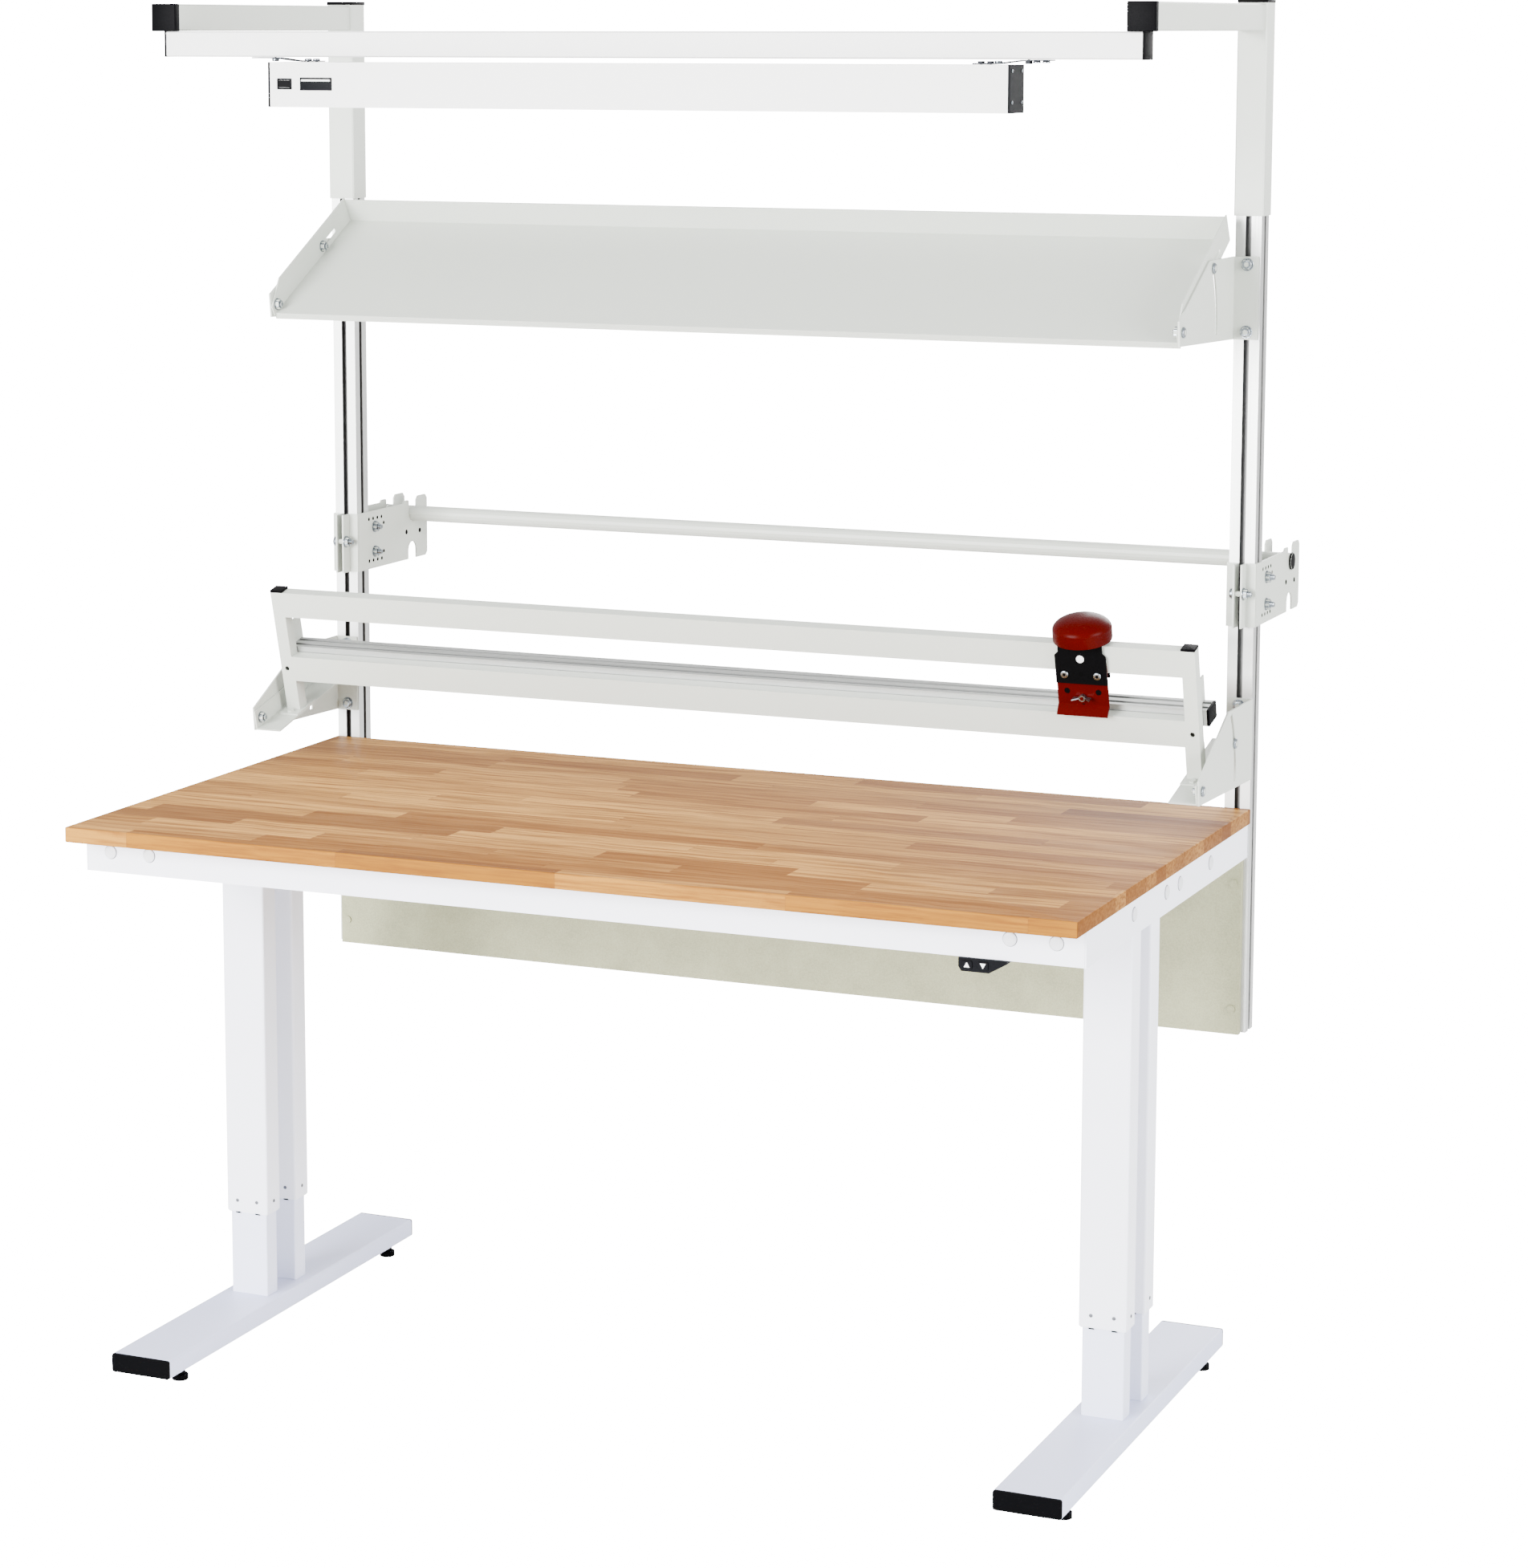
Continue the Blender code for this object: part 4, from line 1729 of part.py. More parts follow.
def head_carriage(slide, black):
    """One strip folded over the top rail, with a wide plate in front, and its two round-headed screws."""
    half = HEAD_WIDTH / 2
    shoulder = HEAD_SHOULDER / 2
    step = HEAD_HIGH - HEAD_SHOULDER_HEIGHT
    outline = [
        (-half, HEAD_LOW),
        (half, HEAD_LOW),
        (half, step),
        (shoulder, step + half - shoulder),
        (shoulder, HEAD_HIGH),
        (-shoulder, HEAD_HIGH),
        (-shoulder, step + half - shoulder),
        (-half, step),
    ]
    front = bmesh.new()
    prism(front, "xz", outline, HEAD_FRONT, HEAD_FRONT + HEAD_SHEET)
    low = HEAD_LOW
    back = HEAD_REAR + HEAD_SHEET
    under = HEAD_SEAT - HEAD_SHEET
    fold = [
        (HEAD_FRONT, HEAD_HIGH - HEAD_SHEET),
        (HEAD_FRONT, HEAD_SEAT),
        (back, HEAD_SEAT),
        (back, low),
        (HEAD_REAR, low),
        (HEAD_REAR, under),
        (HEAD_FRONT + HEAD_SHEET, under),
        (HEAD_FRONT + HEAD_SHEET, HEAD_HIGH - HEAD_SHEET),
    ]
    saddle = bmesh.new()
    prism(saddle, "yz", fold, -shoulder, shoulder)
    screws = bmesh.new()
    for centre in head_screw_places():
        head = HEAD_FRONT - HEAD_SCREW_HEAD
        screw(
            screws,
            "xz",
            centre,
            HEAD_SCREW_RADIUS,
            HEAD_SCREW_HEAD_RADIUS,
            head,
            HEAD_FRONT + WELD,
            GRIP_BACK,
            8,
        )
    holes = bmesh.new()
    window = circle(0.0, HEAD_LOW + HEAD_HOLE_RISE, HEAD_HOLE_RADIUS, 10)
    prism(holes, "xz", window, HEAD_FRONT - CUT_OVERRUN, HEAD_FRONT + HEAD_SHEET + CUT_OVERRUN)
    node("head_carriage", front, black, slide, holes, [saddle, screws])


def red_grip(slide, red):
    """The red plate behind the head plate; its lower edge flares forward. It carries the blade and a stud."""
    half = GRIP_WIDTH / 2
    flare = GRIP_LOW + GRIP_FLARE
    sheet = GRIP_BACK - GRIP_FRONT
    outline = [
        (GRIP_FRONT, GRIP_TOP),
        (GRIP_BACK, GRIP_TOP),
        (GRIP_BACK, flare),
        (GRIP_FRONT - GRIP_FLARE + sheet, GRIP_LOW),
        (GRIP_FRONT - GRIP_FLARE, GRIP_LOW + sheet / 2),
        (GRIP_FRONT, flare + sheet),
    ]
    bm = bmesh.new()
    prism(bm, "yz", outline, -half, half)
    holes = bmesh.new()
    spots = [(*centre, HEAD_SCREW_RADIUS + SEAT_GAP) for centre in head_screw_places()]
    rise = GRIP_LOW + GRIP_HOLE_RISE
    spots += [(dx, rise, GRIP_HOLE_RADIUS) for dx in (-GRIP_HOLE_SPREAD / 2, GRIP_HOLE_SPREAD / 2)]
    for x, z, radius in spots:
        prism(holes, "xz", circle(x, z, radius, 8), GRIP_FRONT - CUT_OVERRUN, GRIP_BACK + CUT_OVERRUN)
    stud = bmesh.new()
    front = GRIP_FRONT - SEAT_GAP - WING_HUB - SHEET / 2
    prism(stud, "xz", circle(0.0, GRIP_LOW + WING_RISE, WING_STUD_RADIUS, 8), front, GRIP_FRONT + WELD)
    blade = bmesh.new()
    low = CUTTER_LOW + CUTTER_RAIL + 2 * RUNNING_GAP
    back = GRIP_BACK + SEAT_GAP + BLADE_THICKNESS
    block(
        blade,
        (-BLADE_WIDTH / 2, GRIP_BACK - WELD, max(low, flare + WELD)),
        (BLADE_WIDTH / 2, back, low + BLADE_HEIGHT),
    )
    node("red_grip", bm, red, slide, holes, [stud, blade])


def dome(slide, red):
    """The red knob: a shallow dome with a short rim, hollow below, standing on the saddle with a boss."""
    rim = DOME_LOW + DOME_RIM
    centre_y = (CUTTER_FRONT + CUTTER_BACK) / 2 + DOME_BACKSET
    steps = 5
    outer = []
    for i in range(steps):
        angle = math.radians(90 * i / steps)
        outer.append((DOME_RADIUS * math.cos(angle), rim + DOME_RISE * math.sin(angle)))
    outer.append((DOME_WALL, rim + DOME_RISE))
    inner = DOME_RADIUS - DOME_WALL
    seat = HEAD_SEAT + SEAT_GAP
    profile = [(inner / 2, seat), (inner / 2, rim), (inner, rim), (inner, DOME_LOW), (DOME_RADIUS, DOME_LOW)]
    bm = bmesh.new()
    turned(bm, "xy", (0.0, centre_y), profile + outer, 20)
    node("dome", bm, red, slide)


def wing_nut(slide, zinc):
    """The wing nut that turns on the grip's stud."""
    axis = pivot("wing_turn", (0.0, GRIP_FRONT, GRIP_LOW + WING_RISE), slide)
    hub = bmesh.new()
    outer = circle(0.0, 0.0, WING_HUB_RADIUS, 8)
    inner = circle(0.0, 0.0, WING_STUD_RADIUS + RUNNING_GAP, 8)
    pipe(hub, "xz", outer, inner, -SEAT_GAP - WING_HUB, -SEAT_GAP)
    wings = bmesh.new()
    half = WING_THICKNESS / 2
    start = (WING_STUD_RADIUS + WING_HUB_RADIUS) / 2 + RUNNING_GAP
    for _, side in SIDES:
        outline = [
            (side * start, -WING_HUB),
            (side * WING_SPAN, -WING_HUB - WING_LIFT),
            (side * WING_SPAN, -WING_HUB / 2),
            (side * start, -WING_HUB / 4),
        ]
        prism(wings, "xy", outline, -half, half)
    node("wing_nut", hub, zinc, axis, None, [wings])


def legs(lift, white, black, dark):
    """The feet with their caps and levellers, and the four lifting columns."""
    for label, side in SIDES:
        foot(label, side, white)
        foot_caps(label, side, black)
        levellers(label, side, black)
        carrier(label, side, lift, white)
        for end, y in COLUMN_ENDS:
            inner_column(label, side, end, y, white)
            outer_column(label, side, end, y, lift, white)
            lift_drive(label, side, end, y, lift, dark)


def table(lift, white, wood, dark):
    """The work top on its frame, with the control box and the handset."""
    work_top(lift, wood)
    front_rail(lift, white)
    rear_rail(lift, white)
    for label, side in SIDES:
        side_rail(label, side, lift, white)
    control_box(lift, dark)
    handset(lift, dark)
    handset_buttons(lift, dark)


def upper_frame(lift, grey, board, aluminium):
    """Posts, modesty panel, gantry, brackets and roll holders."""
    modesty_panel(lift, board)
    cross_bar(lift, grey)
    for label, side in SIDES:
        post(label, side, lift, aluminium)
        gantry_arm(label, side, lift, grey)
        swivel_bracket(f"shelf_bracket_{label}", side, SHELF_PLATE, SHELF_BRACKET_BOTTOM, lift, grey)
        swivel_bracket(f"cutter_bracket_{label}", side, CUTTER_PLATE, CUTTER_BRACKET_BOTTOM, lift, grey)
        roll_holder(label, side, lift, grey)
    roll_rod(lift, grey)


def lamp(lift, grey, dark, black, milky):
    """The lamp that hangs from the cross bar on two springs."""
    lamp_housing(lift, grey)
    lamp_caps(lift, dark)
    lamp_diffuser(lift, milky)
    lamp_springs(lift, black)
    lamp_rocker(lift, black)


def build():
    """Make every piece of the table."""
    clear_scene()
    white = finish("white_frame", (0.86, 0.86, 0.89), 0.38)
    grey = finish("light_grey", (0.72, 0.74, 0.72), 0.42)
    board = finish("panel_board", (0.55, 0.55, 0.47), 0.62)
    wood = finish("beech", (0.72, 0.47, 0.28), 0.45)
    aluminium = finish("aluminium", (0.70, 0.71, 0.71), 0.38, 1.0)
    zinc = finish("zinc", (0.72, 0.75, 0.77), 0.30, 1.0)
    black = finish("black_plastic", (0.02, 0.02, 0.022), 0.45)
    dark = finish("dark_grey_plastic", (0.06, 0.065, 0.075), 0.45)
    red = finish("red_paint", (0.45, 0.02, 0.01), 0.15)
    milky = finish("diffuser", (0.90, 0.91, 0.90), 0.50)

    lift = pivot("lift", (0.0, 0.0, 0.0))
    legs(lift, white, black, dark)
    table(lift, white, wood, dark)
    upper_frame(lift, grey, board, aluminium)
    lamp(lift, grey, dark, black, milky)
    tilt = pivot("shelf_tilt", (0.0, PIVOT_Y, SHELF_PIVOT_Z), lift, (math.radians(SHELF_TILT), 0, 0))
    shelf_tray(tilt, grey)
    lean = pivot("cutter_tilt", (0.0, PIVOT_Y, CUTTER_PIVOT_Z), lift, (math.radians(CUTTER_LEAN), 0, 0))
    cutter_frame(lean, grey)
    slot_rail(lean, aluminium)
    slide = pivot("cutter_slide", (HEAD_CENTRE, 0.0, 0.0), lean)
    head_carriage(slide, black)
    red_grip(slide, red)
    dome(slide, red)
    wing_nut(slide, zinc)


build()
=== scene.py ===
# %% [markdown]
# # A packing table, dressed in Blender
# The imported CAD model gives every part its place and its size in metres. This notebook adds what
# the solids leave out: finishes, rounded caps, bright bolts, the jointed beech top and the light.
# First the model is loaded. Its nodes are ordinary mesh objects that are never moved.

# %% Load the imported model
import json
import math

import bpy
import numpy as np
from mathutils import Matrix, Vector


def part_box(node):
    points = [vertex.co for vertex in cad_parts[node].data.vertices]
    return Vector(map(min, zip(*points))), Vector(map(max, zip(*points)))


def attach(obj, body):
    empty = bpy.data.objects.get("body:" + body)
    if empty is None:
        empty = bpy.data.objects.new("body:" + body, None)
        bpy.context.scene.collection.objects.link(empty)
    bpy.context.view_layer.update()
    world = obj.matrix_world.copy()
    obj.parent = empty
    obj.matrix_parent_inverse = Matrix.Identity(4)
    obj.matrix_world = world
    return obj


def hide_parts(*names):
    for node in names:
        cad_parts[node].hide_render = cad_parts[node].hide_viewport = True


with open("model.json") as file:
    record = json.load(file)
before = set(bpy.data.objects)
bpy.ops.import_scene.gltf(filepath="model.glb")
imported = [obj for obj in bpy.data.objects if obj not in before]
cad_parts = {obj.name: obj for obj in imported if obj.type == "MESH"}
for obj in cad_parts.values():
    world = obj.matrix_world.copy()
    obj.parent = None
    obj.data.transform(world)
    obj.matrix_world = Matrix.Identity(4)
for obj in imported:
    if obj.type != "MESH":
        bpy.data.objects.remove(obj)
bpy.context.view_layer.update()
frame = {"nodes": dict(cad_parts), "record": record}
SIDES = {"left": -1, "right": 1}
OUTWARD = {-1: "-x", 1: "+x"}

# %% [markdown]
# ## The camera
# The photograph looks at the table from its right, from a little below the height of the posts' tops,
# with a long lens. A long lens keeps the far foot almost as large as the near one. The camera leans
# down a little, and a small lens shift does the rest, so that the posts stay nearly upright.

# %% Place the camera
CAMERA_PLACE = (2.2645, -5.1851, 1.9471)
CAMERA_TURN = 23.689
CAMERA_LEAN = 8.228
CAMERA_LENS = 93.14
CAMERA_SHIFT = (0.0479, -0.12)
SENSOR = 36.0

camera_data = bpy.data.cameras.new("camera")
camera_data.sensor_width = SENSOR
camera_data.sensor_fit = "HORIZONTAL"
camera_data.lens = CAMERA_LENS
camera_data.shift_x, camera_data.shift_y = CAMERA_SHIFT
camera = bpy.data.objects.new("camera", camera_data)
camera.location = CAMERA_PLACE
camera.rotation_euler = (math.radians(90 - CAMERA_LEAN), 0, math.radians(CAMERA_TURN))
bpy.context.scene.collection.objects.link(camera)
bpy.context.scene.camera = camera
print("camera at", CAMERA_PLACE)

# %% [markdown]
# ## Mesh helpers
# Every new piece here is a stack of closed rings. A cap, a bolt head, a washer and a table top are
# all such stacks, so one function that joins rings by quads can build them. The rings of a turned or
# rounded shape come out of numpy as whole arrays.

# %% Join rings into a closed skin
def loft(rings):
    """Faces between a stack of rings. Point j of ring i is number i * n + j, and each quad joins
    points j and j + 1 of one ring to the same two of the next; the end rings are closed flat."""
    rings = np.asarray(rings, float)
    count, n = rings.shape[:2]
    i, j = np.meshgrid(np.arange(count - 1), np.arange(n), indexing="ij")
    k = (j + 1) % n
    quads = np.stack([i * n + j, i * n + k, (i + 1) * n + k, (i + 1) * n + j], -1).reshape(-1, 4)
    ends = [list(range(n))[::-1], list(range((count - 1) * n, count * n))]
    return rings.reshape(-1, 3), quads.tolist() + ends


def make_piece(name, skins, material, body, smooth_angle=40):
    """One object from several skins, with its place in its mesh, riding on a body of the frame."""
    points, faces, start = [], [], 0
    for skin_points, skin_faces in skins:
        points.append(skin_points)
        faces += [[v + start for v in face] for face in skin_faces]
        start += len(skin_points)
    mesh = bpy.data.meshes.new(name)
    mesh.from_pydata(np.concatenate(points).tolist(), [], faces)
    mesh.validate()
    mesh.shade_smooth()
    mesh.set_sharp_from_angle(angle=math.radians(smooth_angle))
    mesh.materials.append(material)
    piece = bpy.data.objects.new(name, mesh)
    bpy.context.scene.collection.objects.link(piece)
    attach(piece, body)
    return piece


def turn_to(points, axis):
    """Points made round +Z, turned so that +Z becomes the named axis and the skin keeps facing out.
    The three coordinates are only exchanged in a cycle or half turned, which mirrors nothing."""
    x, y, z = np.moveaxis(np.asarray(points, float), -1, 0)
    turned = {"+z": (x, y, z), "-z": (x, -y, -z), "+x": (z, x, y), "-x": (-z, x, -y),
              "+y": (y, z, x), "-y": (y, -z, -x)}
    return np.stack(turned[axis], -1)


def spun(profile, sides, axis="+z", centre=(0, 0, 0), start=0.0):
    """A profile of (radius, height) turned round an axis: each ring is the radius times the cosine
    and sine of equal angles, at its height along the axis."""
    radius, height = np.asarray(profile, float).T
    angle = start + np.linspace(0, 2 * math.pi, sides, endpoint=False)
    rings = np.stack([radius[:, None] * np.cos(angle), radius[:, None] * np.sin(angle),
                      np.broadcast_to(height[:, None], (len(height), sides))], -1)
    points, faces = loft(rings)
    return turn_to(points, axis) + np.asarray(centre, float), faces


# %% [markdown]
# A moulded cap or a wooden board has soft edges. The block below is a stack of rounded rectangles:
# near both ends the rectangle shrinks as a quarter circle does, which rounds the edges as well as
# the corners. A Bevel modifier on a cube could do the same, but the formula keeps the piece light.

# %% A block with rounded edges
LEAST_CORNER = 0.02


def rounded_block(low, high, radius, steps=4):
    """A box with its edges rounded. Each ring is a rectangle of quarter-circle corners in X and Y;
    at angle a of the end rounding it is inset by radius (1 - cos a) and raised by radius sin a. A
    corner never shrinks to nothing, so that no two points fall together."""
    low, high = np.minimum(low, high).astype(float), np.maximum(low, high).astype(float)
    angle = np.linspace(0, math.pi / 2, steps + 1)
    corner = np.concatenate([angle + quarter * math.pi / 2 for quarter in range(4)])
    sign_x = np.repeat([1, -1, -1, 1], steps + 1)
    sign_y = np.repeat([1, 1, -1, -1], steps + 1)
    middle, half = (low[:2] + high[:2]) / 2, (high[:2] - low[:2]) / 2
    inset = radius * (1 - np.cos(angle))
    inset = np.concatenate([inset[::-1], inset])
    height = np.concatenate([low[2] + radius * (1 - np.sin(angle[::-1])),
                             high[2] - radius * (1 - np.sin(angle))])
    small = np.maximum(radius - inset, radius * LEAST_CORNER)[:, None]
    x = middle[0] + sign_x * (half[0] - inset[:, None] - small) + small * np.cos(corner)
    y = middle[1] + sign_y * (half[1] - inset[:, None] - small) + small * np.sin(corner)
    z = np.broadcast_to(height[:, None], x.shape)
    return loft(np.stack([x, y, z], -1))


print("a rounded block has", len(rounded_block((0, 0, 0), (1, 1, 1), 0.1)[1]), "faces")

# %% [markdown]
# ## Finishes
# Three effects are node groups, each built once: the fine pebbled skin of powder coat and moulded
# plastic, the drawn lines of metal, and the staves of a wooden block board. A group gives out only
# values, and the shader stays in each material.

# %% Start a group and wire nodes
def new_group(name, inputs, outputs):
    """An empty shader group with float inputs (name, value) and float outputs."""
    group = bpy.data.node_groups.new(name, "ShaderNodeTree")
    for label, value in inputs:
        socket = group.interface.new_socket(label, in_out="INPUT", socket_type="NodeSocketFloat")
        socket.default_value = value
    for label in outputs:
        group.interface.new_socket(label, in_out="OUTPUT", socket_type="NodeSocketFloat")
    return group, group.nodes.new("NodeGroupInput"), group.nodes.new("NodeGroupOutput")


def wire(tree, source, target):
    """Link a value or a socket to a socket."""
    if isinstance(source, (int, float)):
        target.default_value = source
    else:
        tree.links.new(source, target)


def calculate(tree, operation, *terms):
    """One Math node; its terms are numbers or sockets."""
    node = tree.nodes.new("ShaderNodeMath")
    node.operation = operation
    for term, socket in zip(terms, node.inputs):
        wire(tree, term, socket)
    return node.outputs[0]


def spread(tree, value, low, high, to_low=0.0, to_high=1.0):
    """Map a value from one range to another, and clamp it."""
    node = tree.nodes.new("ShaderNodeMapRange")
    for term, socket in zip((value, low, high, to_low, to_high), node.inputs):
        wire(tree, term, socket)
    return node.outputs[0]


def object_place(tree):
    """The vector of Object coordinates, and its X, Y and Z sockets."""
    place = tree.nodes.new("ShaderNodeTexCoord").outputs["Object"]
    split = tree.nodes.new("ShaderNodeSeparateXYZ")
    tree.links.new(place, split.inputs[0])
    return place, split.outputs


def joined(tree, x, y, z):
    """A vector from three values."""
    node = tree.nodes.new("ShaderNodeCombineXYZ")
    for term, socket in zip((x, y, z), node.inputs):
        wire(tree, term, socket)
    return node.outputs[0]


def cloud(tree, vector, scale, detail=2.0, roughness=0.5):
    """The value of a noise texture at a vector."""
    node = tree.nodes.new("ShaderNodeTexNoise")
    tree.links.new(vector, node.inputs["Vector"])
    wire(tree, scale, node.inputs["Scale"])
    node.inputs["Detail"].default_value = detail
    node.inputs["Roughness"].default_value = roughness
    return node.outputs[0]


print("node helpers ready")

# %% [markdown]
# Powder coat melts onto steel and sets with a skin like orange peel, about a millimetre from bump
# to bump. Moulded plastic has the same look at a finer scale. Noise at two scales gives both: the
# fine one is the skin, and the wide one is the slow drift in tone that no flat colour has.

# %% The pebbled skin
DRIFT_SCALE = 3.0


def build_pebbled_skin():
    """Skin is fine noise at Scale per metre; Drift is wide noise at a few per metre."""
    group, given, out = new_group("pebbled skin", [("Scale", 900.0)], ["Skin", "Drift"])
    place, _ = object_place(group)
    group.links.new(cloud(group, place, given.outputs["Scale"], 2.0), out.inputs["Skin"])
    group.links.new(cloud(group, place, DRIFT_SCALE, 3.0), out.inputs["Drift"])
    return group


PEBBLED = build_pebbled_skin()
print("group:", PEBBLED.name)

# %% [markdown]
# A bar of aluminium is pressed through a die, which leaves fine lines along its length. Noise does
# the same when its space is squeezed across the bar: many changes per metre across, few along.

# %% The drawn lines
def build_drawn_lines():
    """Lines is noise of the place times (Along X, Along Y, Along Z) changes per metre."""
    rates = [("Along X", 3.0), ("Along Y", 900.0), ("Along Z", 900.0)]
    group, given, out = new_group("drawn lines", rates, ["Lines"])
    _, axes = object_place(group)
    scaled = [calculate(group, "MULTIPLY", axis, given.outputs[label])
              for axis, (label, _) in zip(axes, rates)]
    group.links.new(cloud(group, joined(group, *scaled), 1.0, 3.0), out.inputs["Lines"])
    return group


DRAWN = build_drawn_lines()
print("group:", DRAWN.name)

# %% [markdown]
# The top is glued from beech staves about 45 mm wide, in rows whose butt joints fall anywhere. The
# row is the whole part of Y over the stave's width. Each row slides along X by its own amount and
# has its own stave length, and the whole part of X over that length counts the staves. A white
# noise of the two counts then gives every stave its own tone, the same on the top and the edges.

# %% The staves of the block board
STAVE_INPUTS = [("Stave width", 0.045), ("Stave length", 0.42), ("Glue line", 0.0005)]
STAVE_OUTPUTS = ("Tone", "Heart", "Grain", "Fleck", "Joint")
LENGTH_SPREAD, LEAST_LENGTH = 0.9, 0.6
GRAIN_RATES = (3.5, 75.0, 130.0)
WAVER_RATE, WAVER_SCALE, WAVER_REACH = 1.6, 5.0, 1.5
FLECK_RATES = (260.0, 1500.0, 1500.0)
OWN_GRAIN = 40.0


def build_staves():
    """Tone is one random value a stave, and Heart is another. Grain is noise of the place times
    its rates, which are low along X, with Y bent by a slow waver and Z moved by the stave's own
    amount. Fleck is short dark rays, and Joint is 1 on a glue line."""
    group, given, out = new_group("staves", STAVE_INPUTS, STAVE_OUTPUTS)
    _, (x, y, z) = object_place(group)

    def random_of(first, second, seed):
        """White noise of two counts and a seed."""
        node = group.nodes.new("ShaderNodeTexWhiteNoise")
        node.noise_dimensions = "3D"
        group.links.new(joined(group, first, second, seed), node.inputs["Vector"])
        return node.outputs["Value"]

    across = calculate(group, "DIVIDE", y, given.outputs["Stave width"])
    row = calculate(group, "FLOOR", across)
    stretch = calculate(group, "MULTIPLY_ADD", random_of(row, 0.0, 3.0), LENGTH_SPREAD, LEAST_LENGTH)
    length = calculate(group, "MULTIPLY", given.outputs["Stave length"], stretch)
    slid = calculate(group, "ADD", x, random_of(row, 0.0, 7.0))
    along = calculate(group, "DIVIDE", slid, length)
    stave = calculate(group, "FLOOR", along)
    tone = random_of(row, stave, 11.0)
    heart = random_of(row, stave, 17.0)
    own = calculate(group, "MULTIPLY", tone, OWN_GRAIN)
    shifted = joined(group, calculate(group, "MULTIPLY_ADD", x, WAVER_RATE, own), y, z)
    waver = cloud(group, shifted, WAVER_SCALE, 2.0)
    bent = calculate(group, "MULTIPLY_ADD", waver, WAVER_REACH,
                     calculate(group, "MULTIPLY", y, GRAIN_RATES[1]))
    depth = calculate(group, "MULTIPLY_ADD", z, GRAIN_RATES[2], own)
    lengthwise = calculate(group, "MULTIPLY", x, GRAIN_RATES[0])
    grain = cloud(group, joined(group, lengthwise, bent, depth), 1.6, 5.0, 0.6)
    ray = joined(group, *[calculate(group, "MULTIPLY", axis, rate)
                          for axis, rate in zip((x, y, z), FLECK_RATES)])
    fleck = spread(group, cloud(group, ray, 1.0, 1.0), 0.60, 0.74)
    side_gap = calculate(group, "MULTIPLY", calculate(group, "PINGPONG", across, 0.5),
                         given.outputs["Stave width"])
    end_gap = calculate(group, "MULTIPLY", calculate(group, "PINGPONG", along, 0.5), length)
    nearest = calculate(group, "MINIMUM", side_gap, end_gap)
    joint = calculate(group, "LESS_THAN", nearest, given.outputs["Glue line"])
    for label, socket in zip(STAVE_OUTPUTS, (tone, heart, grain, fleck, joint)):
        group.links.new(socket, out.inputs[label])
    return group


STAVES = build_staves()
print("groups:", [group.name for group in bpy.data.node_groups])

# %% [markdown]
# A material starts from Blender's Principled shader. What is even all over the surface, such as how
# metallic it is, is set on the shader itself. What varies is linked from a group or from noise.

# %% Start a material
def new_finish(name, metallic, roughness, specular=0.5):
    """A material with a Principled shader; returns the material, its tree and the shader."""
    material = bpy.data.materials.new(name)
    material.use_nodes = True
    shader = material.node_tree.nodes["Principled BSDF"]
    shader.inputs["Metallic"].default_value = metallic
    shader.inputs["Roughness"].default_value = roughness
    shader.inputs["Specular IOR Level"].default_value = specular
    return material, material.node_tree, shader


def place_group(tree, group, **values):
    """A group in a material, with some of its inputs set."""
    node = tree.nodes.new("ShaderNodeGroup")
    node.node_tree = group
    for label, value in values.items():
        node.inputs[label.replace("_", " ")].default_value = value
    return node.outputs


def blend_colours(tree, share, first, second):
    """A colour between two; each is a tuple of red, green and blue, or a socket."""
    node = tree.nodes.new("ShaderNodeMix")
    node.data_type = "RGBA"
    wire(tree, share, node.inputs["Factor"])
    for colour, label in ((first, "A"), (second, "B")):
        socket = next(s for s in node.inputs if s.name == label and s.type == "RGBA")
        if isinstance(colour, tuple):
            socket.default_value = (*colour, 1.0)
        else:
            tree.links.new(colour, socket)
    return next(s for s in node.outputs if s.type == "RGBA")


def raise_skin(tree, shader, height, distance, strength=1.0):
    """Send a height through a Bump node to the shader's normal."""
    bump = tree.nodes.new("ShaderNodeBump")
    bump.inputs["Strength"].default_value = strength
    bump.inputs["Distance"].default_value = distance
    tree.links.new(height, bump.inputs["Height"])
    tree.links.new(bump.outputs["Normal"], shader.inputs["Normal"])


print("material helpers ready")

# %% [markdown]
# The steel frame is powder coated, and caps and keys are moulded plastic. Both are a colour under a
# pebbled skin, so one function makes them all, with another colour, gloss and size of pebbles. The
# colours were set by comparing the render with the photograph, patch by patch.

# %% Paint and plastic
SKIN_LOW, SKIN_HIGH = 0.3, 0.7


def coated(name, colour, drift=0.04, roughness=0.42, scale=900.0, bump=0.00006, specular=0.5):
    """A coloured skin: the colour drifts a little darker, and the skin varies gloss and height."""
    material, tree, shader = new_finish(name, 0.0, roughness, specular)
    skin = place_group(tree, PEBBLED, Scale=scale)
    darker = tuple(channel * (1 - drift) for channel in colour)
    tree.links.new(blend_colours(tree, skin["Drift"], darker, colour), shader.inputs["Base Color"])
    gloss = spread(tree, skin["Skin"], SKIN_LOW, SKIN_HIGH, roughness - 0.06, roughness + 0.06)
    tree.links.new(gloss, shader.inputs["Roughness"])
    raise_skin(tree, shader, skin["Skin"], bump)
    return material


